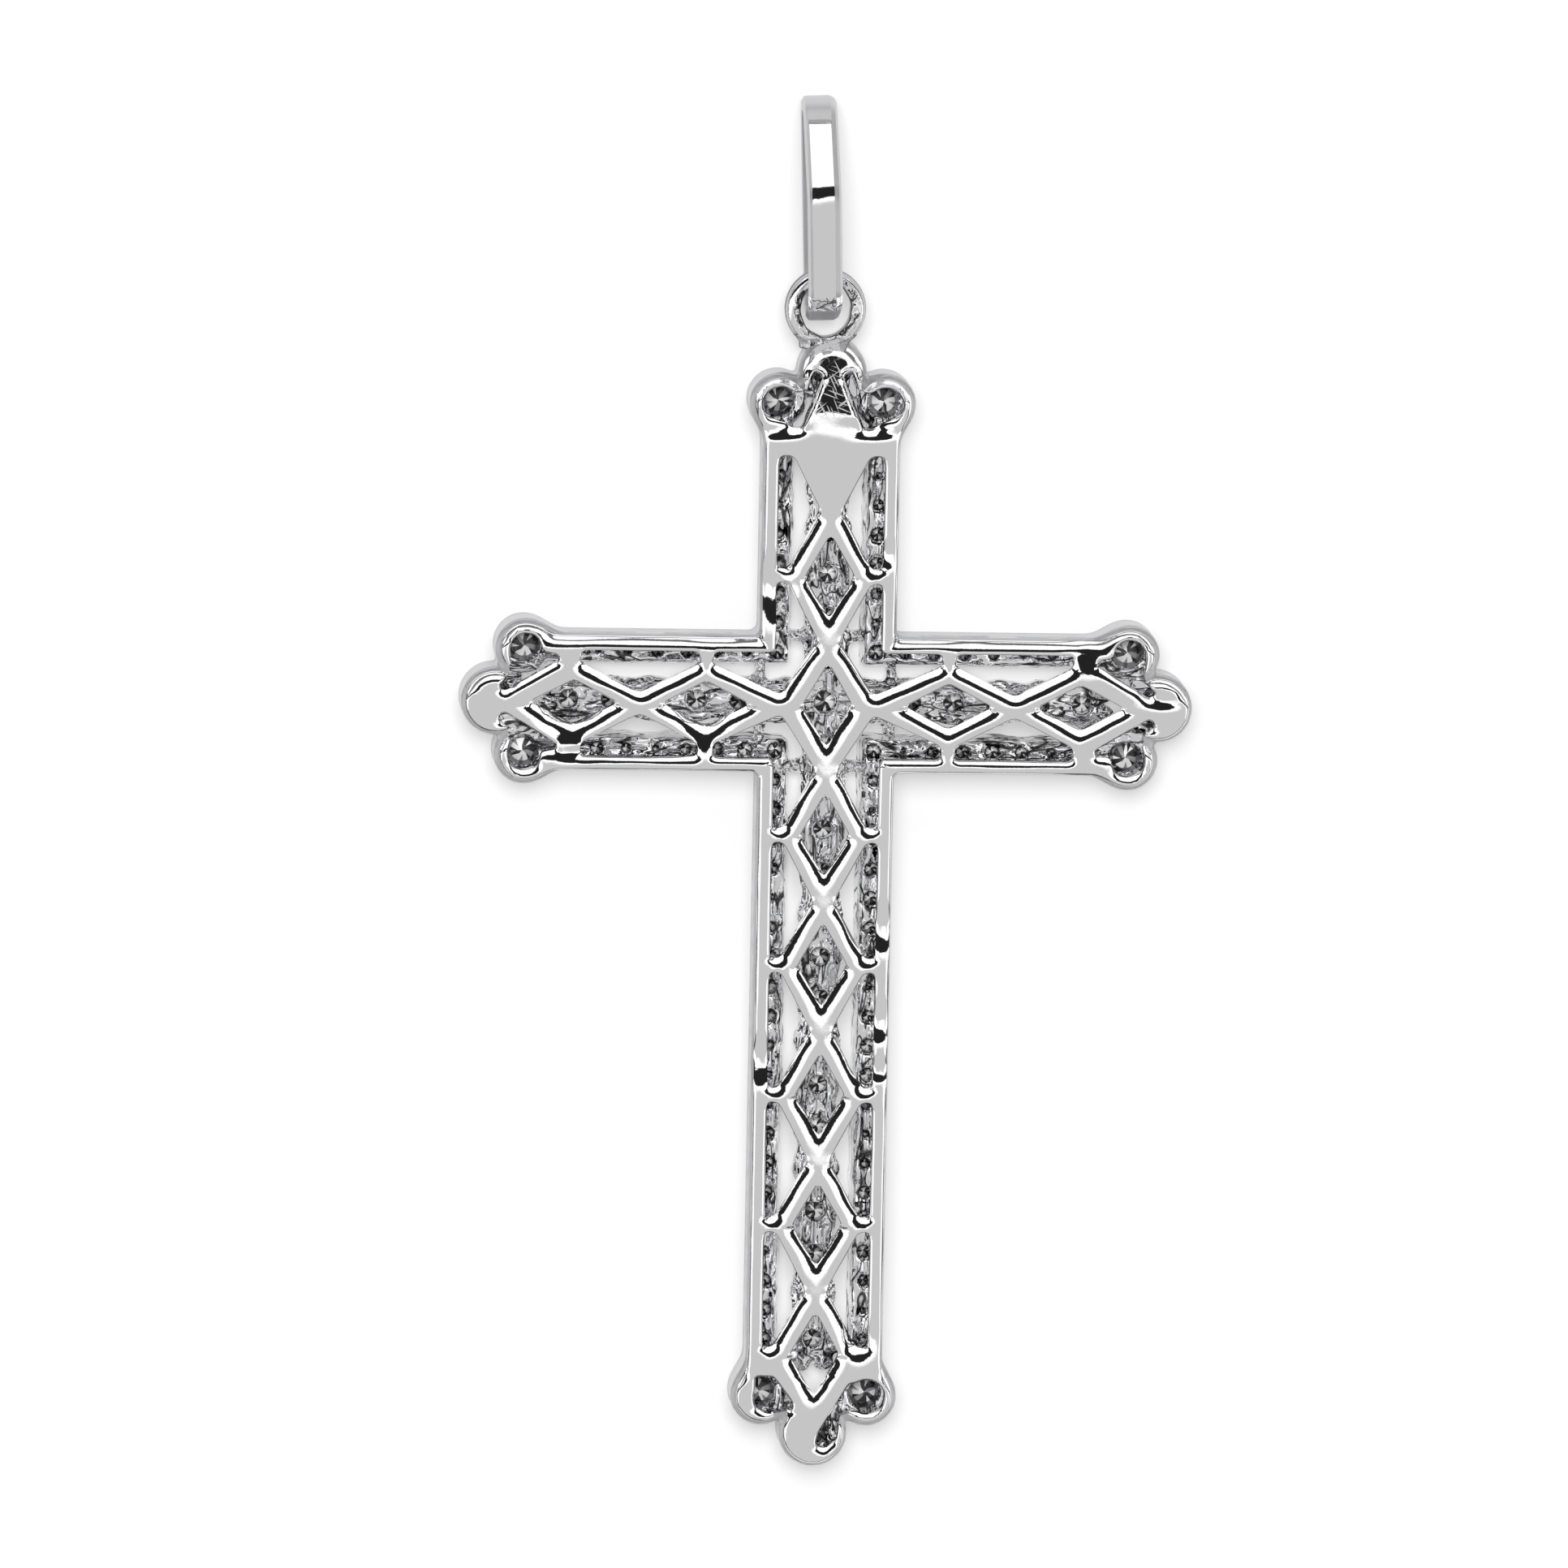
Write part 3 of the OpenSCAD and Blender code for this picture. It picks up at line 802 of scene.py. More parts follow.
def slot_lip(gap, front, raised):
    """Edge of the openings beside the lobe stones: worn where it faces the bail, with a raised lip on
    the top arm."""
    worn = smooth_step(0.0, 0.9, front)
    lip = SLOT_EDGE(gap, 1.0) - HEAD_LIP * raised * np.exp(-((gap - LIP_PLACE) / LIP_R) ** 2)
    return lip * (1 - worn) + STRUT_EDGE(gap, 0.7) * worn


def back_face(x, y):
    """Height of the polished back."""
    outer, front = facing(gallery_outline, x, y)
    # How far past the side lobes' middles, and the share of the strip along an arm's edge
    head = np.maximum(np.abs(x) - lobe_u(0), np.maximum(y - lobe_u(1), -y - lobe_u(3)))
    strip = (1 - smooth_step(*STRIP_INNER_END, outer)) * (1 - smooth_step(*STRIP_HEAD_END, head))
    wave = 1 + 0.25 * grain(x, y, 1.3, 12)
    # The outer edge is worn where it faces the bail, but not round the stem's tip
    worn = smooth_step(*OUTER_FACING, front) * smooth_step(*STEM_TIP, y)
    scale = LEAST_OUTER_ROUNDING + (1 - LEAST_OUTER_ROUNDING) * worn
    drop = OUTER_EDGE(np.maximum(outer, 0) * wave, scale)
    for hole in HOLES:
        near = hole.near(x, y)
        if near.any():
            gap, front = facing(hole.edge, x[near], y[near])
            if hole.disc:
                drop[near] += slot_lip(gap, front, smooth_step(5, 6, y[near]))
                continue
            scale = edge_scale(front)
            gap = gap * (1 + 0.1 * grain(x[near], y[near], 0.9, 14))
            drop[near] += STRUT_EDGE(gap, scale) * (1 - strip[near]) + STRIP_EDGE(gap, scale) * strip[near]
    for height, size, seed in WAVES:
        drop = drop + height * grain(x, y, size, seed)
    down, kept = sunk(x, y)
    drop = MOST_DROP * np.tanh(np.maximum(drop * kept, -MOST_LIP) / MOST_DROP)
    return DEPTH - BACK_SINK - drop - down


def gallery_outline(x, y):
    """Distance inside the plate's outline, without its openings."""
    return cross_field(x, y, GALLERY_INSET, GALLERY_LOBE_INSET, GALLERY_TIP_INSET)


def build_gallery():
    def metal(x, y):
        field = gallery_outline(x, y)
        for hole in HOLES:
            near = hole.near(x, y)
            if near.any():
                field[near] = np.minimum(field[near], hole.gap(x[near], y[near]))
        return field

    def underside(x, y):
        return DEPTH - GALLERY_T - UNDERSIDE_SINK - sunk(x, y)[0]

    shell = Shell()
    plate = Slab(metal, PLAN_BOX, GALLERY_STEP, ROUNDING_LEVELS)
    z_top = plate.face(shell, back_face, True, plate.fine)
    z_low = plate.face(shell, underside, False, plate.plain, 1)
    band(shell, plate, plate.rim, z_top, z_low, [(0, 0), (0.5, 0), (1, 0)])
    piece = shell.build("gallery_plate", [polished_gold(), cast_gold()])
    return finished(piece, "white_gold", "cross_frame")


# The long slots in the side walls. Columns: start along the arm, length
ARM_WALL_SLOTS = [(3.35, 2.27), (6.72, 2.27)]
STEM_WALL_SLOTS = [(4.0, 18.4)]
WALL_SLOT_SOFT = 0.1
# The heights over which a slot begins and ends
WALL_SLOT_FOOT = (1.02, 1.12)
WALL_SLOT_TOP = (1.42, 1.52)
WALL_OVERLAP = 0.06    # how far the walls reach up into the plate
WALL_RINGS = 14


def wall_push(x, y, z, slot_depth):
    """How far the long slots sink into the side walls, as a negative distance outward."""
    push = np.zeros(x.shape)
    for arm in range(4):
        u, v = along_arm(x, y, arm)
        for start, length in STEM_WALL_SLOTS if arm == 3 else ARM_WALL_SLOTS:
            end = start + length
            along = smooth_step(start - WALL_SLOT_SOFT, start + WALL_SLOT_SOFT, u)
            along = along * (1 - smooth_step(end - WALL_SLOT_SOFT, end + WALL_SLOT_SOFT, u))
            high = smooth_step(*WALL_SLOT_FOOT, z) * (1 - smooth_step(*WALL_SLOT_TOP, z))
            near = np.abs(np.abs(v) - ARM_W / 2) < 0.4
            rough = 0.8 + 0.4 * grain(u, z * 3, 0.25, 7 + arm)
            push = push - slot_depth * along * high * near * rough
    return push - 0.02 + 0.02 * grain(x + y, z + x - y, 0.5, 2)


def build_walls(context):
    slot_depth = context.scene.pendant_sizes.slot_depth / MM

    def outline(x, y):
        return cross_field(x, y, 0, 0, 0)

    def ring(x, y):
        inside = outline(x, y)
        field = np.minimum(inside, WALL_T - inside)
        for hole in HOLES:
            near = hole.near(x, y)
            if hole.disc and near.any():
                field[near] = np.minimum(field[near], hole.gap(x[near], y[near]) - 0.05)
        return field

    shell = Shell()
    walls = Slab(ring, PLAN_BOX, WALL_STEP)
    ledge = DEPTH - GALLERY_T + WALL_OVERLAP

    def top(x, y):
        return ledge - 0.1 * np.exp(-outline(x, y) / 0.05) - sunk(x, y)[0]

    def foot(x, y):
        return smooth_step(RIM_W - 0.03, RIM_W + 0.03, outline(x, y)) * 0.2 + 0.004

    def push(x, y, z):
        return wall_push(x, y, z, slot_depth)

    z_top = walls.face(shell, top, True, walls.plain)
    z_low = walls.face(shell, foot, False, walls.plain)
    outer = walls.edges(lambda x, y: outline(x, y) < WALL_T / 2)
    inner = walls.edges(lambda x, y: outline(x, y) >= WALL_T / 2)
    rings = [(k / WALL_RINGS, 0) for k in range(WALL_RINGS + 1)]
    # The outer walls are satin, darker with painted shade
    band(shell, walls, outer, z_top, z_low, rings, 0, push)
    band(shell, walls, inner, z_top, z_low, [(0, 0), (1, 0)], 1)
    piece = shell.build("side_walls", [satin_and_shade_gold(), cast_gold()])
    return finished(piece, "white_gold", "cross_frame")


def stone_places():
    """Every stone as x, y, diameter, radius of the hole behind it, group."""
    rows = []
    for arm in range(4):
        for side in (-1, 1):
            for k in range(1, RAIL_ROWS[arm] + 1):
                (x, y), = turned([(RAIL_LINE + k * RAIL_PITCH, side * RAIL_LINE)], arm)
                # No two holes behind the rail stones are quite the same size
                share = LEAST_RAIL_HOLE + (1 - LEAST_RAIL_HOLE) * abs(math.sin(3.7 * len(rows)))
                rows.append((x, y, RAIL_STONE_D, RAIL_HOLE_R * share, "rail"))
        for k in range(1, VINE_ROWS[arm] + 1):
            (x, y), = turned([(k * VINE_PITCH, 0)], arm)
            main = k % MAIN_STEP == 0
            group = "vine_stone_%s_%d" % (ARMS[arm][0], k // MAIN_STEP) if main else "vine"
            rows.append((x, y, VINE_STONE_D, VINE_HOLE_R, group))
        for side, end in ((-1, "a"), (0, "tip"), (1, "b")):
            u = lobe_u(arm) if side else tip_u(arm)
            (x, y), = turned([(u, side * LOBE_OFFSET)], arm)
            rows.append((x, y, LOBE_STONE_D, LOBE_HOLE_R, "lobe_stone_%s_%s" % (ARMS[arm][0], end)))
    for sx in (-1, 1):
        for sy in (-1, 1):
            rows.append((sx * RAIL_LINE, sy * RAIL_LINE, RAIL_STONE_D, RAIL_HOLE_R, "rail"))
    rows.append((0, 0, CENTRE_STONE_D, CENTRE_HOLE_R, "centre_stone"))
    return rows


STONES = stone_places()
VINE_GROUPS = [row for row in STONES if row[4].startswith("vine") or row[4] == "centre_stone"]
RAIL_GROUPS = [row for row in STONES if row[4].startswith("rail") or row[4].startswith("lobe")]
LOBE_STONES = [row for row in STONES if row[4].startswith("lobe")]
STONE_REACH = 1.2    # how far from a stone's middle its hole and its seat are looked for, mm
HOLE_EDGE = 0.03     # a rim edge nearer than this to a hole is the hole's own


def girdle_z(d):
    return TABLE_Z + CROWN_SHARE * d


def hole_gap(rows, x, y):
    """Distance outside the round holes behind the stones."""
    gap = np.full(x.shape, 9.0)
    for cx, cy, _, hole_r, _ in rows:
        near = (np.abs(x - cx) < STONE_REACH) & (np.abs(y - cy) < STONE_REACH)
        gap[near] = np.minimum(gap[near], np.hypot(x[near] - cx, y[near] - cy) - hole_r)
    return gap


def seat_gap(rows, x, y):
    """Distance outside the stones' seats on the front."""
    girdles = [(cx, cy, d, d / 2, group) for cx, cy, d, _, group in rows]
    return hole_gap(girdles, x, y) - STONE_GAP


def hole_edges(slab, rows):
    """The rim of a slab in two parts: round the holes behind the stones, and the rest."""
    pits = slab.edges(lambda x, y: hole_gap(rows, x, y) < HOLE_EDGE)
    rest = slab.edges(lambda x, y: hole_gap(rows, x, y) >= HOLE_EDGE)
    return pits, rest


def seat_depth(rows, x, y, z):
    """The front surface z, sunk to the seats' cones where there are stones."""
    z = z.copy()
    for cx, cy, d, hole_r, _ in rows:
        r = d / 2 + STONE_GAP
        near = (np.abs(x - cx) < r) & (np.abs(y - cy) < r)
        dist = np.hypot(x[near] - cx, y[near] - cy)
        cone = girdle_z(d) + STONE_GAP + 2 * PAVILION_SHARE * (r - np.maximum(dist, hole_r))
        z[near] = np.where(dist < r, np.maximum(cone, z[near]), z[near])
    return z


# Half of the space between the rails at the back and at the front, and how far the lobes reach into it
RAIL_GAP_BACK = 1.34
RAIL_GAP_FRONT = ARM_W / 2 - RAIL_W
LOBE_METAL_R = 0.95


def rail_opening(x, y, half):
    """Distance inside the space between the rails."""
    field = np.full(x.shape, -9.0)
    for arm in range(4):
        u, v = along_arm(x, y, arm)
        room = np.minimum(half - np.abs(v), np.minimum(u + half, tip_u(arm) - LOBE_METAL_R - u))
        room = np.minimum(room, np.hypot(u - lobe_u(arm), np.abs(v) - LOBE_OFFSET) - LOBE_METAL_R)
        field = np.maximum(field, room)
    return field


def leaned(x, y):
    """Where a place of the setting's back lies on its front: the rails' inner walls slope."""
    gap = -rail_opening(x, y, RAIL_GAP_BACK)
    points = np.stack([x, y], 1)
    way = gradient(lambda a, b: rail_opening(a, b, RAIL_GAP_BACK), points)
    share = (RAIL_GAP_BACK - RAIL_GAP_FRONT) * np.clip(1 - gap / 0.2, 0, 1.2)
    points = points + way * share[:, None]
    return points[:, 0], points[:, 1]


def terraced(height, step):
    """Heights gathered into flat steps with short slopes between them."""
    layers = height / step
    whole = np.floor(layers)
    return step * (whole + smooth_step(0.28, 0.72, layers - whole))


def nearer_arm(x, y):
    """Places as seen from the arm they are on: along it and across it."""
    upright = np.abs(x) < np.abs(y)
    return np.where(upright, y, x), np.where(upright, x, y)


def molten(x, y, seed, relief):
    """Flat streaks of the unpolished casting, one over the other, along each arm."""
    u, v = nearer_arm(x, y)
    height = relief * grain(u / 4, v, 0.26, seed) + relief * grain(u / 2.4, v, 0.42, seed + 1)
    return terraced(height, 0.06)


SETTING_RINGS = 7
VINE_RINGS = 5


def build_setting(context):
    sizes = context.scene.pendant_sizes
    relief = sizes.casting_relief / MM

    def metal(x, y):
        field = cross_field(x, y, SETTING_INSET, SETTING_INSET, SETTING_INSET)
        field = np.minimum(field, -rail_opening(x, y, RAIL_GAP_BACK) + 0.03 * grain(x, y, 0.5, 9))
        return np.minimum(field, hole_gap(RAIL_GROUPS, x, y))

    def back(x, y):
        gap = hole_gap(RAIL_GROUPS, x, y)
        # The metal rounds down into the holes, most in the lobes, and into the space between the rails
        drop = 0.1 * np.exp(-gap / 0.07) + 0.3 * np.exp(-(hole_gap(LOBE_STONES, x, y) / 0.12) ** 2)
        drop = drop + 0.07 * np.exp(rail_opening(x, y, RAIL_GAP_BACK) / 0.08)
        return SETTING_T - 0.05 - drop + molten(x, y, 41, relief)

    def edge(x, y):
        return np.minimum(cross_field(x, y, 0, 0, 0), -rail_opening(x, y, RAIL_GAP_FRONT))

    def front(x, y):
        z = RIM_H * smooth_step(RIM_W - 0.02, RIM_W + 0.02, edge(x, y)) + 0.001
        return seat_depth(RAIL_GROUPS, x, y, z)

    def cuts(x, y):
        x, y = leaned(x, y)
        return np.minimum(seat_gap(RAIL_GROUPS, x, y), np.abs(edge(x, y) - RIM_W) - 0.02)

    shell = Shell()
    setting = Slab(metal, PLAN_BOX, SETTING_STEP)
    tris = setting.cut_again(setting.plain, cuts, (0.0,))
    setting.rim = rim_of(tris)

    # Painted shade: faces round the holes behind the stones get the dark gold
    def look(x, y):
        dark = (hole_gap(LOBE_STONES, x, y) < 0.15) | (hole_gap(RAIL_GROUPS, x, y) < 0.05)
        return np.where(dark, 2, 0)

    z_top = setting.face(shell, back, True, tris, look)
    places = np.stack(leaned(*setting.points.T), 1)
    z_low, normals = heights_and_normals(front, places, False)
    shell.add(np.column_stack([places, z_low]), tris[:, ::-1], normals, 1)
    setting.out_of_rim(metal)

    def steps(x, y, z):
        return 0.03 * grain(x + y, z * 2.5, 0.16, 6)

    pits, rest = hole_edges(setting, RAIL_GROUPS)
    rings = [(k / SETTING_RINGS, k / SETTING_RINGS) for k in range(SETTING_RINGS + 1)]
    # The walls of the holes behind the stones get the dark gold as painted shade
    band(shell, setting, pits, z_top, z_low, [(0, 0), (1, 1)], 2, None, places)
    band(shell, setting, rest, z_top, z_low, rings, 0, steps, places)
    for x, y, r in bead_places(sizes.rail_bead / MM, sizes.lobe_bead / MM):
        shell.ball((x, y, RIM_H + 0.01), r, 1)
    piece = shell.build("front_setting", [cast_gold(), polished_gold(), seat_gold()])
    return finished(piece, "white_gold", "cross_frame")


# How far the beads lie from the rails' and the vine's middle line, and from the girdle of a lobe's stone
RAIL_BEAD_OFFSET = 0.3
VINE_BEAD_OFFSET = 0.4
LOBE_BEAD_OUT = 0.06


def bead_places(rail_bead, lobe_bead):
    """The beads that hold the stones on the front, as x, y, radius."""
    rows = []
    ring_r = LOBE_STONE_D / 2 + LOBE_BEAD_OUT
    for arm in range(4):
        for side in (-1, 1):
            for k in range(RAIL_ROWS[arm]):
                u = RAIL_LINE + (k + 0.5) * RAIL_PITCH
                for across in (-RAIL_BEAD_OFFSET, RAIL_BEAD_OFFSET):
                    rows += [(*place, rail_bead) for place in turned([(u, side * RAIL_LINE + across)], arm)]
        for side in (-1, 0, 1):
            u = lobe_u(arm) if side else tip_u(arm)
            for turn in (45, 135, 225, 315):
                t = math.radians(turn)
                bead = (u + ring_r * math.cos(t), side * LOBE_OFFSET + ring_r * math.sin(t))
                rows += [(*place, lobe_bead) for place in turned([bead], arm)]
    return rows


def vine_field(x, y):
    """Distance inside the vine's outline, without the holes behind its stones."""
    field = np.full(x.shape, -9.0)
    for arm in range(4):
        u, v = along_arm(x, y, arm)
        run = VINE_ROWS[arm] * VINE_PITCH
        body = np.minimum(VINE_HALF - np.abs(v), np.minimum(run + VINE_END - u, u + VINE_HALF))
        near = np.clip(np.round(u / VINE_PITCH), 0, VINE_ROWS[arm]) * VINE_PITCH
        body = blended_max(body, VINE_HALF + VINE_BULGE - np.hypot(u - near, v), 0.2)
        for centre, width in ((LINK_U, LINK_W), (run + END_LINK_OUT + END_LINK_W / 2, END_LINK_W)):
            link = np.minimum(width / 2 - np.abs(u - centre), RAIL_LINE - np.abs(v))
            body = blended_max(body, link, 0.35)
        curl = CURL_R - np.hypot(u - run - CURL_OUT, np.abs(v) - CURL_OFFSET)
        field = np.maximum(field, blended_max(body, curl, 0.15))
    return field


def build_vine(context):
    bead = context.scene.pendant_sizes.vine_bead / MM

    def metal(x, y):
        field = vine_field(x, y) + 0.05 * grain(x, y, 0.42, 11)
        return np.minimum(field, hole_gap(VINE_GROUPS, x, y))

    def back(x, y):
        inside = vine_field(x, y)
        u, v = nearer_arm(x, y)
        rough = grain(u / 3.5, v, 0.2, 21) * 0.5 + grain(u / 2, v, 0.36, 22)
        base = 0.34 * np.exp(-np.clip(inside, 0, 1) / 0.2) + 0.14 * rough
        z = SETTING_T + 0.03 - terraced(base, 0.09)
        gap = hole_gap(VINE_GROUPS, x, y)
        rim = 0.05 * np.exp(-((gap - 0.07) / 0.05) ** 2) - 0.12 * np.exp(-gap / 0.04)
        return z + rim

    def front(x, y):
        z = np.full(x.shape, VINE_Z) - 0.06 * smooth_step(0.1, 0.4, vine_field(x, y))
        return seat_depth(VINE_GROUPS, x, y, z)

    def cuts(x, y):
        return seat_gap(VINE_GROUPS, x, y)

    shell = Shell()
    vine = Slab(metal, PLAN_BOX, VINE_STEP)
    tris = vine.cut_again(vine.plain, cuts, (0.0,))
    vine.rim = rim_of(tris)
    vine.out_of_rim(metal)
    z_top = vine.face(shell, back, True, tris)
    z_low = vine.face(shell, front, False, tris, 1)

    def steps(x, y, z):
        return 0.035 * grain(x + y, z * 3, 0.18, 24)

    pits, rest = hole_edges(vine, VINE_GROUPS)
    rings = [(k / VINE_RINGS, 0) for k in range(VINE_RINGS + 1)]
    # The walls of the holes behind the stones get the dark gold as painted shade
    band(shell, vine, pits, z_top, z_low, [(0, 0), (1, 0)], 2)
    band(shell, vine, rest, z_top, z_low, rings, 0, steps)
    for arm in range(4):
        for k in range(VINE_ROWS[arm]):
            for side in (-1, 1):
                (x, y), = turned([((k + 0.5) * VINE_PITCH, side * VINE_BEAD_OFFSET)], arm)
                shell.ball((x, y, VINE_Z), bead, 1)
    piece = shell.build("vine", [cast_gold(), polished_gold(), seat_gold()])
    return finished(piece, "white_gold", "cross_frame")


def brilliant(shell, x, y, d, turn, seed):
    """A round brilliant with its table down: table, star, kite and girdle facets, and the pavilion."""
    n = 8
    g = girdle_z(d)
    top = g + GIRDLE_T

    def ring(r, z, half):
        return [(x + r * d / 2 * math.cos(t), y + r * d / 2 * math.sin(t), z)
                for t in (turn + 2 * math.pi * (k + half) / n for k in range(n))]

    table = ring(TABLE_SHARE, TABLE_Z, 0)
    stars = ring(STAR_SHARE, TABLE_Z + STAR_RISE * (g - TABLE_Z), 0.5)
    girdle = [p for pair in zip(ring(1, g, 0), ring(1, g, 0.5)) for p in pair]
    upper = [(a, b, top) for a, b, _ in girdle]
    lower = ring(LOWER_SHARE, top + PAVILION_SHARE * d * LOWER_RISE, 0.5)
    culet = [(x, y, top + PAVILION_SHARE * d)]
    points = table + stars + girdle + upper + lower + culet
    t0, s0, g0, u0, l0, c0 = 0, n, 2 * n, 4 * n, 6 * n, 7 * n
    faces = [[t0 + k for k in reversed(range(n))]]
    for k in range(n):
        j, m = (k + 1) % n, 2 * n
        a, b, c = 2 * k, 2 * k + 1, (2 * k + 2) % m
        faces += [
            [t0 + k, t0 + j, s0 + k],
            [s0 + (k - 1) % n, g0 + a, s0 + k, t0 + k],
            [s0 + k, g0 + a, g0 + b], [s0 + k, g0 + b, g0 + c],
            [g0 + a, u0 + a, u0 + b, g0 + b], [g0 + b, u0 + b, u0 + c, g0 + c],
            [u0 + a, l0 + k, u0 + b], [u0 + b, l0 + k, u0 + c],
            [u0 + a, l0 + (k - 1) % n, c0, l0 + k],
        ]
    glints = [(7 * i + 3 * seed) % 5 for i in range(len(faces))]
    for shade, picks in enumerate(((0, 3), (1,), (2, 4))):
        shell.flat(points, [face for face, glint in zip(faces, glints) if glint in picks], shade)


def set_stones(name, node, wanted):
    """Cuts the stones of some groups and puts them in place of a node."""
    shell = Shell()
    for i, (x, y, d, _, group) in enumerate(STONES):
        if group in wanted:
            brilliant(shell, x, y, d, 0.7 * i, i)
    piece = shell.build(name, [diamond(*shade) for shade in DIAMOND_SHADES])
    return finished(piece, "diamond", node)


def single_stones(kind):
    """The groups of one stone each whose names begin so."""
    return [row[4] for row in STONES if row[4].startswith(kind)]


EYELET_HOLE = (0.875, 0.96)   # half-width and half-height of its opening
EYELET_LIP = 0.3              # width of the bevel round it
LIP_SLANT = 0.06              # how much narrower the bevel gets per mm to the right
BEVEL_DROP = 0.27
SATIN_BAND = 0.13             # width of the satin band along its edge, darker with painted shade
NECK_HALF = 0.62
NECK_REACH = (-1.42, -0.5)    # where the neck into the cross ends and begins, from the eyelet's middle
NECK_FACE_Y = 1.2             # so far under the middle the neck's own surface begins
NECK_DIP = 0.62               # how far the neck comes down to the setting
DIP_RUN = (0.95, 1.3)         # the distances under the middle between which it comes down
NECK_SPREAD = 0.4             # how much wider the neck gets per mm on each side, towards the cross
SPREAD_FROM = 0.85            # and how far under the middle that begins
NECK_FILLET = 0.4


def build_eyelet():
    outer_r = EYELET_D / 2
    hole_x, hole_y = EYELET_HOLE
    neck_low, neck_high = NECK_REACH

    def inside(x, y):
        return outer_r - np.hypot(x - EYELET[0], y - EYELET[1])

    def metal(x, y):
        ring = inside(x, y)
        x, y = x - EYELET[0], y - EYELET[1]
        hole = (np.hypot(x / hole_x, y / hole_y) - 1) * 0.9 + 0.02 * grain(x, y, 0.3, 31)
        neck = NECK_HALF + NECK_SPREAD * np.clip(-SPREAD_FROM - y, 0, 1) - np.abs(x)
        neck = np.minimum(neck, np.minimum(neck_high - y, y - neck_low))
        return np.minimum(blended_max(ring, neck, NECK_FILLET), hole)

    def dip(y):
        return NECK_DIP * smooth_step(*DIP_RUN, EYELET[1] - y)

    def bevel(x, y):
        x, y = x - EYELET[0], y - EYELET[1]
        d = outer_r - np.hypot(x, y * np.where(y < -0.9, 0.75, 1))
        lip = EYELET_LIP - LIP_SLANT * x
        t = np.clip((lip - d) / lip, 0, 1)
        groove = 0.05 * np.exp(-((d - lip) / 0.025) ** 2)
        return BEVEL_DROP * (1 - np.sqrt(np.maximum(1 - t * t, 0))) + groove

    def top(x, y):
        rough = 0.08 * grain(x, y, 0.34, 32) + 0.05 * grain(x, y, 0.16, 33)
        rough = rough * smooth_step(0.3, 0.36, inside(x, y))
        z = EYELET[2] + EYELET_T / 2 - 0.03 - bevel(x, y) + rough - dip(y)
        return z - 0.08 * np.exp(-metal(x, y) / 0.04)

    def low(x, y):
        return EYELET[2] - EYELET_T / 2 + bevel(x, y) - dip(y)

    def look(x, y):
        d = inside(x, y)
        on_neck = y < EYELET[1] - NECK_FACE_Y
        cast = (d > EYELET_LIP - LIP_SLANT * (x - EYELET[0])) | on_neck
        look = np.where(cast, 1, 0)
        look = np.where((d < SATIN_BAND) & ~on_neck, 3, look)
        # Painted shade: every edge of the eyelet gets the dark gold
        return np.where(metal(x, y) < 0.045, 2, look)

    shell = Shell()
    x, y, _ = EYELET
    ring = Slab(metal, (x - 1.6, y - 1.9, x + 1.6, y + 1.6), EYELET_STEP, (0.04,))
    z_top = ring.face(shell, top, True, ring.fine, look)
    z_low = ring.face(shell, low, False, ring.plain)
    # The eyelet's sides are satin, darker with painted shade
    band(shell, ring, ring.rim, z_top, z_low, [(0, 0), (0.5, 0), (1, 0)], 3)
    piece = shell.build("eyelet", [polished_gold(), cast_gold(), seat_gold(), satin_and_shade_gold()])
    return finished(piece, "white_gold", "cross_frame")


def left_of(v):
    """A direction turned a quarter to the left."""
    return np.array([-v[1], v[0]])


def pulled_in(points, t):
    """An outline pulled in by t, with each corner on the bisector of its two edges."""
    out, n = [], len(points)
    for i in range(n):
        p, before, after = points[i], points[i - 1], points[(i + 1) % n]
        a = left_of((p - before) / np.linalg.norm(p - before))
        b = left_of((after - p) / np.linalg.norm(after - p))
        out.append(p + t * (a + b) / (1 + a @ b))
    return np.array(out)


def spaced(points, count):
    """Points at even steps along a closed outline."""
    closed = np.vstack([points, points[:1]])
    run = np.concatenate([[0], np.cumsum(np.linalg.norm(np.diff(closed, axis=0), axis=1))])
    at = np.arange(count) * run[-1] / count
    return np.stack([np.interp(at, run, closed[:, 0]), np.interp(at, run, closed[:, 1])], 1)


# The polished panel in the bail's near side: where it begins and ends under the top, in mm, and its sides
# as shares of the half-width
PANEL_START = (0.84, 0.88)
PANEL_END = (6.86, 6.94)
PANEL_SIDES = (-0.7, 0.58)
PANEL_EDGE = 0.02
CAST_RUN = (6.9, 7.4)    # where the near side is left as cast, mm under the top
# Bevels at the sides of the bail's outer face. Columns: share of the half-width, how deep
LEFT_BEVEL = [(-1, 0.16), (-0.86, 0.02)]
RIGHT_BEVEL = [(0.86, 0.08), (1, 0.22)]
# What counts as the near side: how far its faces look up, and how far from the bail's lower end it begins
NEAR_UPWARD = (0.3, 0.6)
NEAR_FOOT = 0.8


def bail_side():
    """The bail from its side: points along its outer face, with the way out and the band's thickness."""
    side = np.array([[BAIL_H * (1 - a), BAIL_D * b] for a, b, _ in BAIL_SIDE])
    outer = spaced(softened(side, [row[2] for row in BAIL_SIDE], 14), BAIL_STATIONS)
    inner = softened(pulled_in(side, BAIL_T), 0.1, 6)
    step = np.roll(outer, -1, axis=0) - np.roll(outer, 1, axis=0)
    out = -np.stack([-step[:, 1], step[:, 0]], 1) / np.linalg.norm(step, axis=1)[:, None]
    thickness = []
    for p, n in zip(outer, out):
        deep = np.linspace(0.1, 0.9, 161)
        gaps = outline_gap(p[0] - n[0] * deep, p[1] - n[1] * deep, inner)
        thickness.append(deep[np.argmax(gaps < 0)] if (gaps < 0).any() else BAIL_T)
    return outer, out, thickness


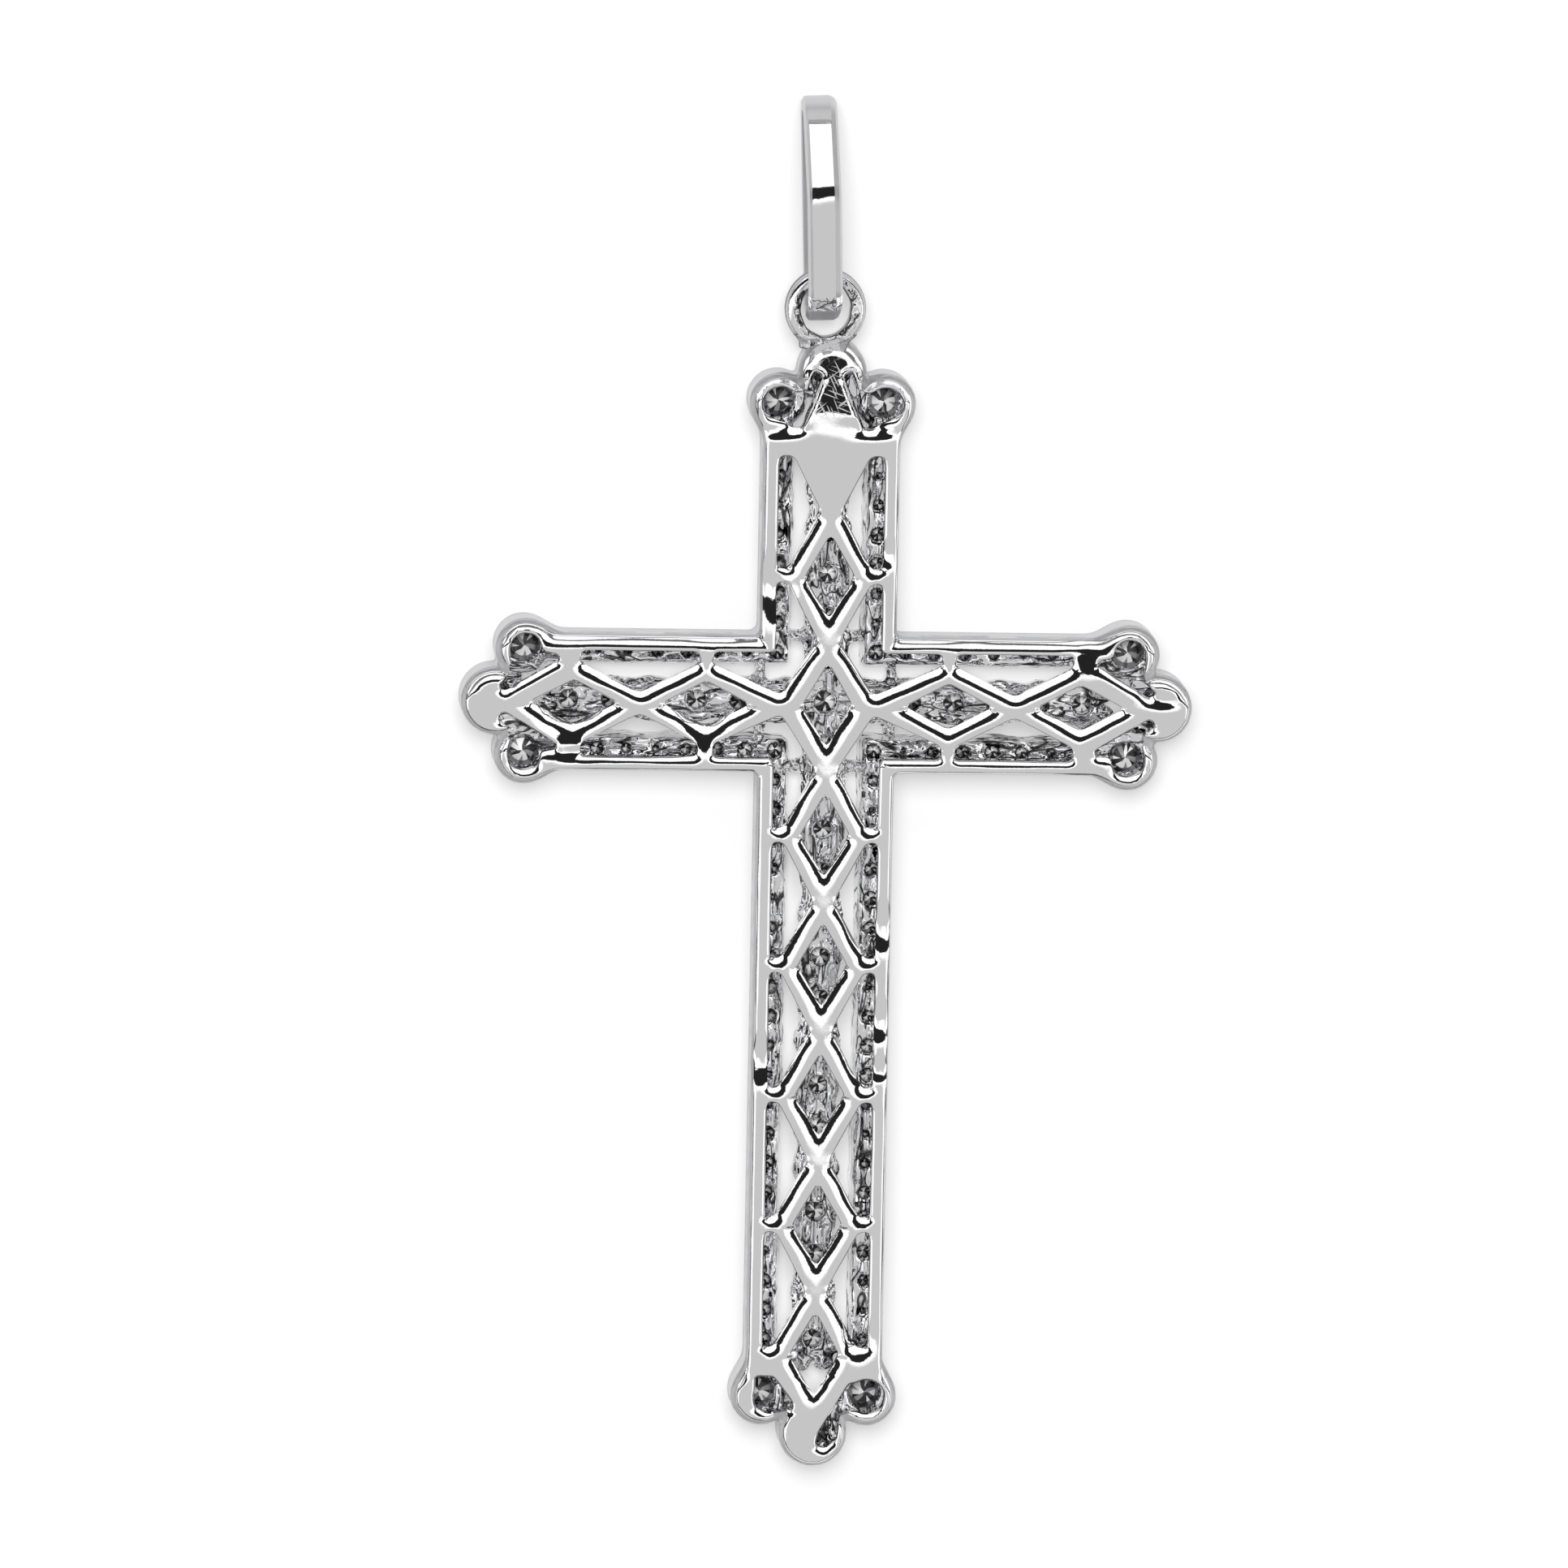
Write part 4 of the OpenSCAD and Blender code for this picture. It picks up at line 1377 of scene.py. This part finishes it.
def bail_section():
    """The outer face across the band. Columns: x, how deep it lies, whether it is in the panel."""
    half = BAIL_W / 2
    left, right = [share * half for share in PANEL_SIDES]
    section = [(share * half, deep, 0) for share, deep in LEFT_BEVEL]
    section += [(left - PANEL_EDGE, 0.0, 0), (left, 0.0, 1)]
    section += [(x, 0.0, 1) for x in np.linspace(left + PANEL_EDGE, right - PANEL_EDGE, 5)]
    section += [(right, 0.0, 1), (right + PANEL_EDGE, 0.0, 0)]
    return section + [(share * half, deep, 0) for share, deep in RIGHT_BEVEL]


def strip_normals(points, tris, strips):
    """Turns triangles outward. Their normals are smooth within a strip of faces and sharp between two."""
    a, b, c = points[tris[:, 0]], points[tris[:, 1]], points[tris[:, 2]]
    flat = np.cross(b - a, c - a)
    inward = (flat[0] @ (a[0] - points.mean(0))) < 0
    size = np.linalg.norm(flat, axis=1)
    flat /= np.maximum(size, 1e-12)[:, None]
    normals = np.zeros((len(points), strips.max() + 1, 3))
    for corner in range(3):
        np.add.at(normals, (tris[:, corner], strips), flat * size[:, None])
    normals = np.stack([normals[tris[:, corner], strips] for corner in range(3)], 1)
    if inward:
        return tris[:, ::-1], -normals[:, ::-1]
    return tris, normals


def build_bail(context):
    panel_depth = context.scene.pendant_sizes.panel_depth / MM
    outer, out, thickness = bail_side()
    section = bail_section()
    panel_faces = [k for k in range(len(section) - 1) if section[k][2] and section[k + 1][2]]
    inner_face = len(section)
    inner_half = BAIL_W / 2 - PANEL_EDGE
    # How far under the top each point is, and 1 where it is on the near side
    run = BAIL_H - outer[:, 0]
    near = smooth_step(*NEAR_UPWARD, out[:, 1]) * (outer[:, 0] > NEAR_FOOT)
    panelled = near * smooth_step(*PANEL_START, run) * (1 - smooth_step(*PANEL_END, run))
    slant = BEND_SLANT * near * np.exp(-(run - BEND_RUN) ** 2)
    near_side = outer[near > 0.5]
    near_side = near_side[np.argsort(near_side[:, 0])]
    rows = []
    for i, (p, n) in enumerate(zip(outer, out)):
        full = []
        for x, deep, panel in section:
            q = p - n * (deep + panel_depth * panelled[i] * panel)
            moved = np.interp([p[0] - slant[i] * x, p[0]], *near_side.T)
            full.append((x, q[0], q[1] + moved[0] - moved[1]))
        q = p - n * thickness[i]
        full += [(inner_half, q[0], q[1]), (-inner_half, q[0], q[1])]
        rows.append(full)
    rows = np.array(rows)
    m = rows.shape[1]
    turn = math.radians(BAIL_TURN)
    c, s = math.cos(turn), math.sin(turn)
    local_x, local_y, z = rows[..., 0], rows[..., 1] + BAIL_BOTTOM - EYELET[1], rows[..., 2]
    placed = np.stack([EYELET[0] + BAIL_SHIFT + local_x * c - local_y * s,
                       EYELET[1] + local_x * s + local_y * c, z], -1)
    tris, looks = [], []
    for i in range(BAIL_STATIONS):
        j = (i + 1) % BAIL_STATIONS
        cast = CAST_RUN[0] < run[i] < CAST_RUN[1] and out[i][1] > -0.2
        for k in range(m):
            n = (k + 1) % m
            tris += [(i * m + k, j * m + k, j * m + n), (i * m + k, j * m + n, i * m + n)]
            panel = panelled[i] > 0.5 and k in panel_faces
            # Faces outside the panel and the cast end are satin, darker with painted shade
            looks += [1 if panel else 2 if cast and k != inner_face else 0] * 2
    # The panel is one strip from side to side, and every other face across the band is its own
    strip = np.arange(m)
    strip[panel_faces[1:-1]] = panel_faces[1]
    strips = np.repeat(np.tile(strip, BAIL_STATIONS), 2)
    placed = placed.reshape(-1, 3)
    shell = Shell()
    shell.add(placed, *strip_normals(placed, np.array(tris), strips), looks)
    piece = shell.build("bail_loop", [satin_and_shade_gold(), polished_gold(), cast_gold()])
    return finished(piece, "white_gold", "bail")


def gold(name, colour, roughness):
    """A metal of one colour and roughness, and its shader."""
    material = bpy.data.materials.new(name)
    material.use_nodes = True
    shader = material.node_tree.nodes["Principled BSDF"]
    shader.inputs["Base Color"].default_value = (*colour, 1)
    shader.inputs["Metallic"].default_value = 1
    shader.inputs["Roughness"].default_value = roughness
    return material, shader


class Shading:
    """Adds nodes to the node tree of a material or a world."""

    def __init__(self, tree):
        self.nodes, self.links = tree.nodes, tree.links

    def add(self, kind, inputs, **settings):
        """A node. inputs holds a value, or another node's output, for some of its sockets."""
        node = self.nodes.new("ShaderNode" + kind)
        for name, value in settings.items():
            setattr(node, name, value)
        for socket, value in inputs.items():
            if isinstance(value, bpy.types.NodeSocket):
                self.links.new(value, node.inputs[socket])
            else:
                node.inputs[socket].default_value = value
        return node

    def calc(self, operation, a, b=None):
        """The result of a Math node with one or two values."""
        inputs = {0: a} if b is None else {0: a, 1: b}
        return self.add("Math", inputs, operation=operation).outputs[0]

    def ramp(self, value, low, high, **settings):
        """From 0 where the value is low to 1 where it is high."""
        inputs = {"Value": value, "From Min": low, "From Max": high}
        return self.add("MapRange", inputs, **settings).outputs["Result"]

    def noise(self, place, scale, detail, distortion=0.0):
        inputs = {"Vector": place, "Scale": scale, "Detail": detail, "Distortion": distortion}
        return self.add("TexNoise", inputs).outputs["Fac"]

    def bump(self, height, depth, normal=None):
        """Relief with a given depth in mm, over another relief if there is one."""
        inputs = {"Height": height, "Distance": depth * MM}
        if normal:
            inputs["Normal"] = normal
        return self.add("Bump", inputs).outputs["Normal"]


def add_bump(material, shader, size, height):
    """Bumps of noise, with their size and height in mm."""
    shading = Shading(material.node_tree)
    place = shading.add("TexCoord", {}).outputs["Object"]
    spread = shading.add("Mapping", {"Vector": place, "Scale": [1 / (size * MM)] * 3}).outputs["Vector"]
    normal = shading.bump(shading.noise(spread, 1, 2), height)
    shading.links.new(normal, shader.inputs["Normal"])


# Where the polish is scratched: x and y from the cross's middle, how far round, and over what way it ends
SCRATCHES = (0.1, 11.2, 1.05, 0.3)
SCRATCH_TURNS = (24, 71, 128)
SCRATCH_SIZE = (0.06, 0.9, 0.3)
SCRATCH_FROM = (0.64, 0.74)


def add_scratches(material, shader, smooth, rough):
    """Fine scratches in three directions on the sloped end of the top arm, as lines of more roughness."""
    x, y, reach, fade = SCRATCHES
    shading = Shading(material.node_tree)
    place = shading.add("TexCoord", {}).outputs["Object"]
    middle = (x * MM, (MIDDLE_Y + y) * MM, DEPTH * MM)
    away = shading.add("VectorMath", {0: place, 1: middle}, operation="DISTANCE").outputs["Value"]
    here = shading.ramp(away, (reach + fade) * MM, reach * MM)
    lines = None
    for turn in SCRATCH_TURNS:
        inputs = {
            "Vector": place,
            "Rotation": (0, 0, math.radians(turn)),
            "Scale": [side * MM for side in SCRATCH_SIZE],
        }
        spread = shading.add("Mapping", inputs, vector_type="TEXTURE").outputs["Vector"]
        line = shading.noise(spread, 1, 0)
        lines = shading.calc("MAXIMUM", lines, line) if lines else line
    scratched = shading.calc("MULTIPLY", here, shading.ramp(lines, *SCRATCH_FROM))
    worn = shading.add("MapRange", {"Value": scratched, "To Min": smooth, "To Max": rough})
    shading.links.new(worn.outputs["Result"], shader.inputs["Roughness"])


# Thin dark lines painted into the rough cast gold's colour, as painted reflections
PAINTED_FOLD_SIZE = 0.8
PAINTED_LINES_PER_FOLD = 4           # painted dark reflection lines to each fold
PAINTED_LINE_WIDTH = (0.03, 0.13)
PAINTED_LINE_DARKNESS = 0.08
# Relief of the flowed metal. Columns: size, depth
FLOW_RELIEF = [(0.46, 0.17), (0.17, 0.015)]


def add_relief_and_painted_lines(material, shader, colour, length):
    """Relief that runs along each arm, as on metal that has flowed, and thin dark lines along it painted
    into the colour as reflections.
    """
    shading = Shading(material.node_tree)
    calc = shading.calc
    place = shading.add("TexCoord", {}).outputs["Object"]
    inputs = {"Vector": place, "Scale": [1 / MM] * 3, "Location": (0, -MIDDLE_Y, 0)}
    in_mm = shading.add("Mapping", inputs).outputs["Vector"]
    x, y, z = shading.add("SeparateXYZ", {0: in_mm}).outputs
    upright = calc("LESS_THAN", calc("ABSOLUTE", x), calc("ABSOLUTE", y))
    turn = calc("MULTIPLY", upright, calc("SUBTRACT", y, x))
    along = calc("DIVIDE", calc("ADD", x, turn), length)
    flow = shading.add("CombineXYZ", {0: along, 1: calc("SUBTRACT", y, turn), 2: z}).outputs[0]
    painted_folds = shading.noise(flow, 1 / PAINTED_FOLD_SIZE, 1.2, 0.9)
    # Painted reflections: dark lines along the folds, multiplied into the colour
    lines = calc("ABSOLUTE", calc("SUBTRACT", calc("FRACT", calc("MULTIPLY", painted_folds, PAINTED_LINES_PER_FOLD)), 0.5))
    inputs = {"Value": lines, "From Min": PAINTED_LINE_WIDTH[0], "From Max": PAINTED_LINE_WIDTH[1], "To Min": PAINTED_LINE_DARKNESS}
    clear = shading.add("MapRange", inputs, interpolation_type="SMOOTHSTEP").outputs["Result"]
    inputs = {"Factor": 1, 6: (*colour, 1), 7: clear}
    mix = shading.add("Mix", inputs, data_type="RGBA", blend_type="MULTIPLY").outputs[2]
    shading.links.new(mix, shader.inputs["Base Color"])
    normal = None
    for size, depth in FLOW_RELIEF:
        normal = shading.bump(shading.noise(flow, 1 / size, 1.0, 0.3), depth, normal)
    shading.links.new(normal, shader.inputs["Normal"])


# Roughness of each finish
POLISH = 0.05
SCRATCHED = 0.5
SATIN = 0.42
CAST = 0.08
SEAT = 0.22
# Relief of each finish: size and height
POLISH_BUMP = (0.12, 0.0016)
SATIN_BUMP = (0.1, 0.006)
SEAT_BUMP = (0.12, 0.03)
DIAMOND_ROUGHNESS = 0.02
DIAMOND_IOR = 2.42
DIAMOND_CLEARNESS = 0.15
# Shade of each kind of facet, by what it mirrors
DIAMOND_SHADES = (("clear", 0.95), ("grey", 0.3), ("dark", 0.02))


def made_once(name, make):
    """The material of that name, made if it isn't there yet."""
    return bpy.data.materials.get(name) or make(name)


def polished_gold():
    def make(name):
        material, shader = gold(name, bpy.context.scene.pendant_looks.gold, POLISH)
        add_bump(material, shader, *POLISH_BUMP)
        add_scratches(material, shader, POLISH, SCRATCHED)
        return material
    return made_once("polished_white_gold", make)


# A rougher satin finish whose colour, darker than the polished gold, is painted shade
def satin_and_shade_gold():
    def make(name):
        material, shader = gold(name, bpy.context.scene.pendant_looks.satin_and_shade_gold, SATIN)
        add_bump(material, shader, *SATIN_BUMP)
        return material
    return made_once("satin_white_gold", make)


def cast_gold():
    def make(name):
        colour = bpy.context.scene.pendant_looks.cast_gold
        material, shader = gold(name, colour, CAST)
        # The dark lines it adds to the colour are painted reflections
        add_relief_and_painted_lines(material, shader, colour, bpy.context.scene.pendant_sizes.streak_length)
        return material
    return made_once("rough_cast_gold", make)


# Painted shade: a dark copy of the gold for the holes behind the stones and the eyelet's edges
def seat_gold():
    def make(name):
        material, shader = gold(name, bpy.context.scene.pendant_looks.seat_gold, SEAT)
        add_bump(material, shader, *SEAT_BUMP)
        return material
    return made_once("dark_seat_gold", make)


def diamond(glint, brightness):
    """The stone's facets, lighter or darker by what each one mirrors from inside the stone."""
    def make(name):
        material = bpy.data.materials.new(name)
        material.use_nodes = True
        shader = material.node_tree.nodes["Principled BSDF"]
        colour = [brightness * c for c in bpy.context.scene.pendant_looks.stone]
        shader.inputs["Base Color"].default_value = (*colour, 1)
        shader.inputs["Roughness"].default_value = DIAMOND_ROUGHNESS
        shader.inputs["IOR"].default_value = DIAMOND_IOR
        shader.inputs["Transmission Weight"].default_value = DIAMOND_CLEARNESS
        return material
    return made_once("diamond_" + glint, make)


# What the metal mirrors. The ramps run over the slope of the way that is mirrored
CAP_GREY = 0.6
SKY_WHITE = 1.15
WHITE_FROM = (0.035, 0.21)
STRIP_FROM = (0.29, 0.32)
STRIP_TO = (0.89, 0.95)
STRIP_DARKNESS = 0.985
RIM_FROM = (3.6, 5.2)
RIM_DARKNESS = 0.85
LINE_FROM = (2.2, 2.3)
LINE_TO = (2.65, 2.75)
LINE_BEHIND = (0.3, 0.8)


def studio_world():
    """Grey overhead, soft white round it, a straight black strip towards +Y, and white low down."""
    world = bpy.data.worlds.new("studio")
    world.use_nodes = True
    world.node_tree.nodes.clear()
    shading = Shading(world.node_tree)
    calc = shading.calc

    def ramp(value, low, high):
        return shading.ramp(value, low, high, interpolation_type="SMOOTHSTEP")

    def between(value, start, end):
        """1 from the start ramp to the end ramp, and 0 on both sides."""
        return calc("MULTIPLY", ramp(value, *start), calc("SUBTRACT", 1, ramp(value, *end)))

    where = shading.add("TexCoord", {}).outputs["Generated"]
    x, y, z = shading.add("SeparateXYZ", {0: where}).outputs
    up = calc("MAXIMUM", z, 0.02)
    ahead = calc("DIVIDE", y, up)
    behind = calc("MAXIMUM", calc("MULTIPLY", ahead, -1), 0)
    aside = calc("DIVIDE", calc("ABSOLUTE", x), up)
    beside = calc("MAXIMUM", calc("SUBTRACT", calc("MULTIPLY", aside, 0.5), behind), 0)
    away = calc("SQRT", calc("ADD", calc("POWER", calc("MAXIMUM", ahead, 0), 2), calc("POWER", beside, 2)))
    light = calc("ADD", CAP_GREY, calc("MULTIPLY", ramp(away, *WHITE_FROM), SKY_WHITE - CAP_GREY))
    strip = between(ahead, STRIP_FROM, STRIP_TO)
    line = between(aside, LINE_FROM, LINE_TO)
    line = calc("MULTIPLY", line, calc("SUBTRACT", 1, ramp(behind, *LINE_BEHIND)))
    dark = calc("MULTIPLY", calc("MAXIMUM", strip, line), STRIP_DARKNESS)
    flat = calc("DIVIDE", calc("SQRT", calc("ADD", calc("POWER", x, 2), calc("POWER", y, 2))), up)
    rim = calc("MULTIPLY", ramp(flat, *RIM_FROM), RIM_DARKNESS)
    light = calc("MULTIPLY", light, calc("SUBTRACT", 1, calc("MAXIMUM", dark, rim)))
    background = shading.add("Background", {"Color": light}).outputs[0]
    shading.add("OutputWorld", {"Surface": background})
    bpy.context.scene.world = world


PAPER_GLOW = 0.4
KEY_PLACE = (-0.06, 0.22, 0.75)
# The camera stands where the photograph was taken from: its distance in mm, its roll in degrees, and how
# far it leans to the side and towards the bail, as slopes
PHOTO_SIZE = 1932
PIXELS_A_MM = 35.3
CENTRE_PIXEL = (1020, 870)
CAMERA_AWAY = 700
CAMERA_ROLL = -0.68
CAMERA_SIDE = 0.065
CAMERA_UP = 0.12
SENSOR = 36


def add_floor(context):
    """White paper under the pendant."""
    mesh = bpy.data.meshes.new("floor")
    half = context.scene.pendant_sizes.floor_width / 2
    corners = [(-half, -half, 0), (half, -half, 0), (half, half, 0), (-half, half, 0)]
    mesh.from_pydata(corners, [], [(0, 1, 2, 3)])
    floor = bpy.data.objects.new("floor", mesh)
    context.scene.collection.objects.link(floor)
    paper = bpy.data.materials.new("white_paper")
    paper.use_nodes = True
    shader = paper.node_tree.nodes["Principled BSDF"]
    shader.inputs["Base Color"].default_value = (*context.scene.pendant_looks.floor, 1)
    shader.inputs["Roughness"].default_value = 1
    shader.inputs["Specular IOR Level"].default_value = 0
    shader.inputs["Emission Color"].default_value = (1, 1, 1, 1)
    shader.inputs["Emission Strength"].default_value = PAPER_GLOW
    mesh.materials.append(paper)


def add_key_light(context):
    """A round soft light over the pendant, which the metal doesn't mirror."""
    light = bpy.data.lights.new("key", "AREA")
    light.shape = "DISK"
    light.size = context.scene.pendant_sizes.light_width
    light.energy = context.scene.pendant_looks.key_power
    key = bpy.data.objects.new("key", light)
    key.location = KEY_PLACE
    key.rotation_euler = (-Vector(KEY_PLACE)).to_track_quat("-Z", "Y").to_euler()
    key.visible_glossy = False
    key.visible_camera = False
    key.visible_transmission = False
    context.scene.collection.objects.link(key)


def add_camera(context):
    """The camera, tilted a little as the photograph's was, with the cross where it is in the photograph."""
    lens = bpy.data.cameras.new("camera")
    lens.sensor_width = SENSOR
    lens.sensor_fit = "HORIZONTAL"
    lens.lens = SENSOR * PIXELS_A_MM * CAMERA_AWAY / PHOTO_SIZE
    lens.clip_start = 0.05
    lens.clip_end = 10
    camera = bpy.data.objects.new("camera", lens)
    context.scene.collection.objects.link(camera)
    turn = math.radians(CAMERA_ROLL)
    c, s = math.cos(turn), math.sin(turn)
    back = Vector((-(CAMERA_SIDE * c - CAMERA_UP * s), CAMERA_SIDE * s + CAMERA_UP * c, 1)).normalized()
    right = Vector((c, -s, 0))
    right = (right - right.dot(back) * back).normalized()
    up = back.cross(right)
    off_x, off_y = [PHOTO_SIZE / 2 - pixel for pixel in CENTRE_PIXEL]
    off = (off_x * right - off_y * up) / PIXELS_A_MM * MM
    middle = Vector((0, MIDDLE_Y * MM, DEPTH * MM))
    place = middle + off + back * CAMERA_AWAY * MM
    camera.matrix_world = Matrix((
        (right.x, up.x, back.x, place.x), (right.y, up.y, back.y, place.y),
        (right.z, up.z, back.z, place.z), (0, 0, 0, 1)))
    context.scene.camera = camera


def build_stage(context):
    add_floor(context)
    studio_world()
    add_key_light(context)
    add_camera(context)
    context.scene.view_settings.view_transform = "Standard"


class PendantSizes(bpy.types.PropertyGroup):
    slot_depth: bpy.props.FloatProperty(
        name="Slot depth", description="How deep the long slots lie in the side walls",
        subtype="DISTANCE", unit="LENGTH", min=0, default=0.14 * MM)
    panel_depth: bpy.props.FloatProperty(
        name="Panel depth", description="How deep the polished panel lies in the bail",
        subtype="DISTANCE", unit="LENGTH", min=0, default=0.05 * MM)
    rail_bead: bpy.props.FloatProperty(
        name="Rail bead", description="Radius of the beads that hold the stones of the rails",
        subtype="DISTANCE", unit="LENGTH", min=0, default=0.12 * MM)
    lobe_bead: bpy.props.FloatProperty(
        name="Lobe bead", description="Radius of the beads that hold the stones of the lobes",
        subtype="DISTANCE", unit="LENGTH", min=0, default=0.13 * MM)
    vine_bead: bpy.props.FloatProperty(
        name="Vine bead", description="Radius of the beads that hold the stones of the vine",
        subtype="DISTANCE", unit="LENGTH", min=0, default=0.14 * MM)
    casting_relief: bpy.props.FloatProperty(
        name="Casting relief", description="Height of the streaks on the unpolished metal",
        subtype="DISTANCE", unit="LENGTH", min=0, default=0.09 * MM)
    streak_length: bpy.props.FloatProperty(
        name="Streak length",
        description="How many times longer than wide the streaks on the unpolished metal are",
        subtype="FACTOR", min=1, max=10, default=3.2)
    floor_width: bpy.props.FloatProperty(
        name="Floor width", description="Width of the paper that the pendant lies on",
        subtype="DISTANCE", unit="LENGTH", min=0, default=3)
    light_width: bpy.props.FloatProperty(
        name="Light width", description="Width of the key light",
        subtype="DISTANCE", unit="LENGTH", min=0, default=0.45)


class PendantLooks(bpy.types.PropertyGroup):
    gold: bpy.props.FloatVectorProperty(
        name="White gold", description="Colour of the polished white gold",
        subtype="COLOR", size=3, min=0, max=1, default=(0.93, 0.93, 0.94))
    # Satin finish, darker than the polished gold as painted shade
    satin_and_shade_gold: bpy.props.FloatVectorProperty(
        name="Satin white gold", description="Colour of the side walls and of the bail's flanks",
        subtype="COLOR", size=3, min=0, max=1, default=(0.62, 0.62, 0.63))
    cast_gold: bpy.props.FloatVectorProperty(
        name="Rough cast gold", description="Colour of the unpolished casting inside",
        subtype="COLOR", size=3, min=0, max=1, default=(0.9, 0.9, 0.91))
    # Painted shade: colour of the dark gold in the holes behind the stones and along the eyelet's edges
    seat_gold: bpy.props.FloatVectorProperty(
        name="Seats behind the stones", description="Colour of the gold in the holes behind the stones",
        subtype="COLOR", size=3, min=0, max=1, default=(0.22, 0.22, 0.23))
    stone: bpy.props.FloatVectorProperty(
        name="Stones", description="Colour of the stones",
        subtype="COLOR", size=3, min=0, max=1, default=(1, 1, 1))
    floor: bpy.props.FloatVectorProperty(
        name="Floor", description="Colour of the paper that the pendant lies on",
        subtype="COLOR", size=3, min=0, max=1, default=(0.33, 0.33, 0.33))
    key_power: bpy.props.FloatProperty(
        name="Key light", description="Power of the key light", unit="POWER", min=0, default=9)


class PENDANT_OT_stage(bpy.types.Operator):
    """Adds the paper floor, the studio light and the camera"""
    bl_idname = "pendant.stage"
    bl_label = "Stage"

    def execute(self, context):
        build_stage(context)
        return {"FINISHED"}


class PENDANT_OT_gallery_plate(bpy.types.Operator):
    """Builds the polished openwork back"""
    bl_idname = "pendant.gallery_plate"
    bl_label = "Gallery plate"

    def execute(self, context):
        build_gallery()
        return {"FINISHED"}


class PENDANT_OT_side_walls(bpy.types.Operator):
    """Builds the satin walls round the cross"""
    bl_idname = "pendant.side_walls"
    bl_label = "Side walls"

    def execute(self, context):
        build_walls(context)
        return {"FINISHED"}


class PENDANT_OT_front_setting(bpy.types.Operator):
    """Builds the rails and lobes that hold the stones of the front"""
    bl_idname = "pendant.front_setting"
    bl_label = "Front setting"

    def execute(self, context):
        build_setting(context)
        return {"FINISHED"}


class PENDANT_OT_vine(bpy.types.Operator):
    """Builds the vine between the rails"""
    bl_idname = "pendant.vine"
    bl_label = "Vine"

    def execute(self, context):
        build_vine(context)
        return {"FINISHED"}


class PENDANT_OT_eyelet(bpy.types.Operator):
    """Builds the flat ring at the top of the cross"""
    bl_idname = "pendant.eyelet"
    bl_label = "Eyelet"

    def execute(self, context):
        build_eyelet()
        return {"FINISHED"}


class PENDANT_OT_bail(bpy.types.Operator):
    """Builds the loop that a chain runs through"""
    bl_idname = "pendant.bail"
    bl_label = "Bail"

    def execute(self, context):
        build_bail(context)
        return {"FINISHED"}


class PENDANT_OT_rail_stones(bpy.types.Operator):
    """Cuts the small stones along the rails"""
    bl_idname = "pendant.rail_stones"
    bl_label = "Rail stones"

    def execute(self, context):
        set_stones("rail_stones_cut", "rail_stones", {"rail"})
        return {"FINISHED"}


class PENDANT_OT_vine_stones(bpy.types.Operator):
    """Cuts the stones along the vine and the one in the middle"""
    bl_idname = "pendant.vine_stones"
    bl_label = "Vine stones"

    def execute(self, context):
        set_stones("small_vine_stones_cut", "small_vine_stones", {"vine"})
        for group in single_stones("vine_stone") + ["centre_stone"]:
            set_stones(group + "_cut", group, {group})
        return {"FINISHED"}


class PENDANT_OT_lobe_stones(bpy.types.Operator):
    """Cuts the three stones at the end of each arm"""
    bl_idname = "pendant.lobe_stones"
    bl_label = "Lobe stones"

    def execute(self, context):
        for group in single_stones("lobe_stone"):
            set_stones(group + "_cut", group, {group})
        return {"FINISHED"}


class PENDANT_PT_pieces(bpy.types.Panel):
    """Lists the pieces, their sizes and their colours"""
    bl_idname = "PENDANT_PT_pieces"
    bl_label = "Cross Pendant"
    bl_space_type = "VIEW_3D"
    bl_region_type = "UI"
    bl_category = "Pendant"

    def draw(self, context):
        column = self.layout.column()
        for operator in OPERATORS:
            column.operator(operator.bl_idname)
        for name in PendantSizes.__annotations__:
            column.prop(context.scene.pendant_sizes, name)
        for name in PendantLooks.__annotations__:
            column.prop(context.scene.pendant_looks, name)


OPERATORS = (
    PENDANT_OT_stage,
    PENDANT_OT_gallery_plate,
    PENDANT_OT_side_walls,
    PENDANT_OT_front_setting,
    PENDANT_OT_vine,
    PENDANT_OT_eyelet,
    PENDANT_OT_bail,
    PENDANT_OT_rail_stones,
    PENDANT_OT_vine_stones,
    PENDANT_OT_lobe_stones,
)
CLASSES = (PendantSizes, PendantLooks, *OPERATORS, PENDANT_PT_pieces)


def register():
    for one in CLASSES:
        bpy.utils.register_class(one)
    bpy.types.Scene.pendant_sizes = bpy.props.PointerProperty(type=PendantSizes)
    bpy.types.Scene.pendant_looks = bpy.props.PointerProperty(type=PendantLooks)


def unregister():
    del bpy.types.Scene.pendant_looks
    del bpy.types.Scene.pendant_sizes
    for one in reversed(CLASSES):
        bpy.utils.unregister_class(one)


def main():
    register()
    bpy.ops.pendant.stage()
    bpy.ops.pendant.gallery_plate()
    bpy.ops.pendant.side_walls()
    bpy.ops.pendant.front_setting()
    bpy.ops.pendant.vine()
    bpy.ops.pendant.eyelet()
    bpy.ops.pendant.bail()
    bpy.ops.pendant.rail_stones()
    bpy.ops.pendant.vine_stones()
    bpy.ops.pendant.lobe_stones()
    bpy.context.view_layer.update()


if __name__ == "__main__":
    main()
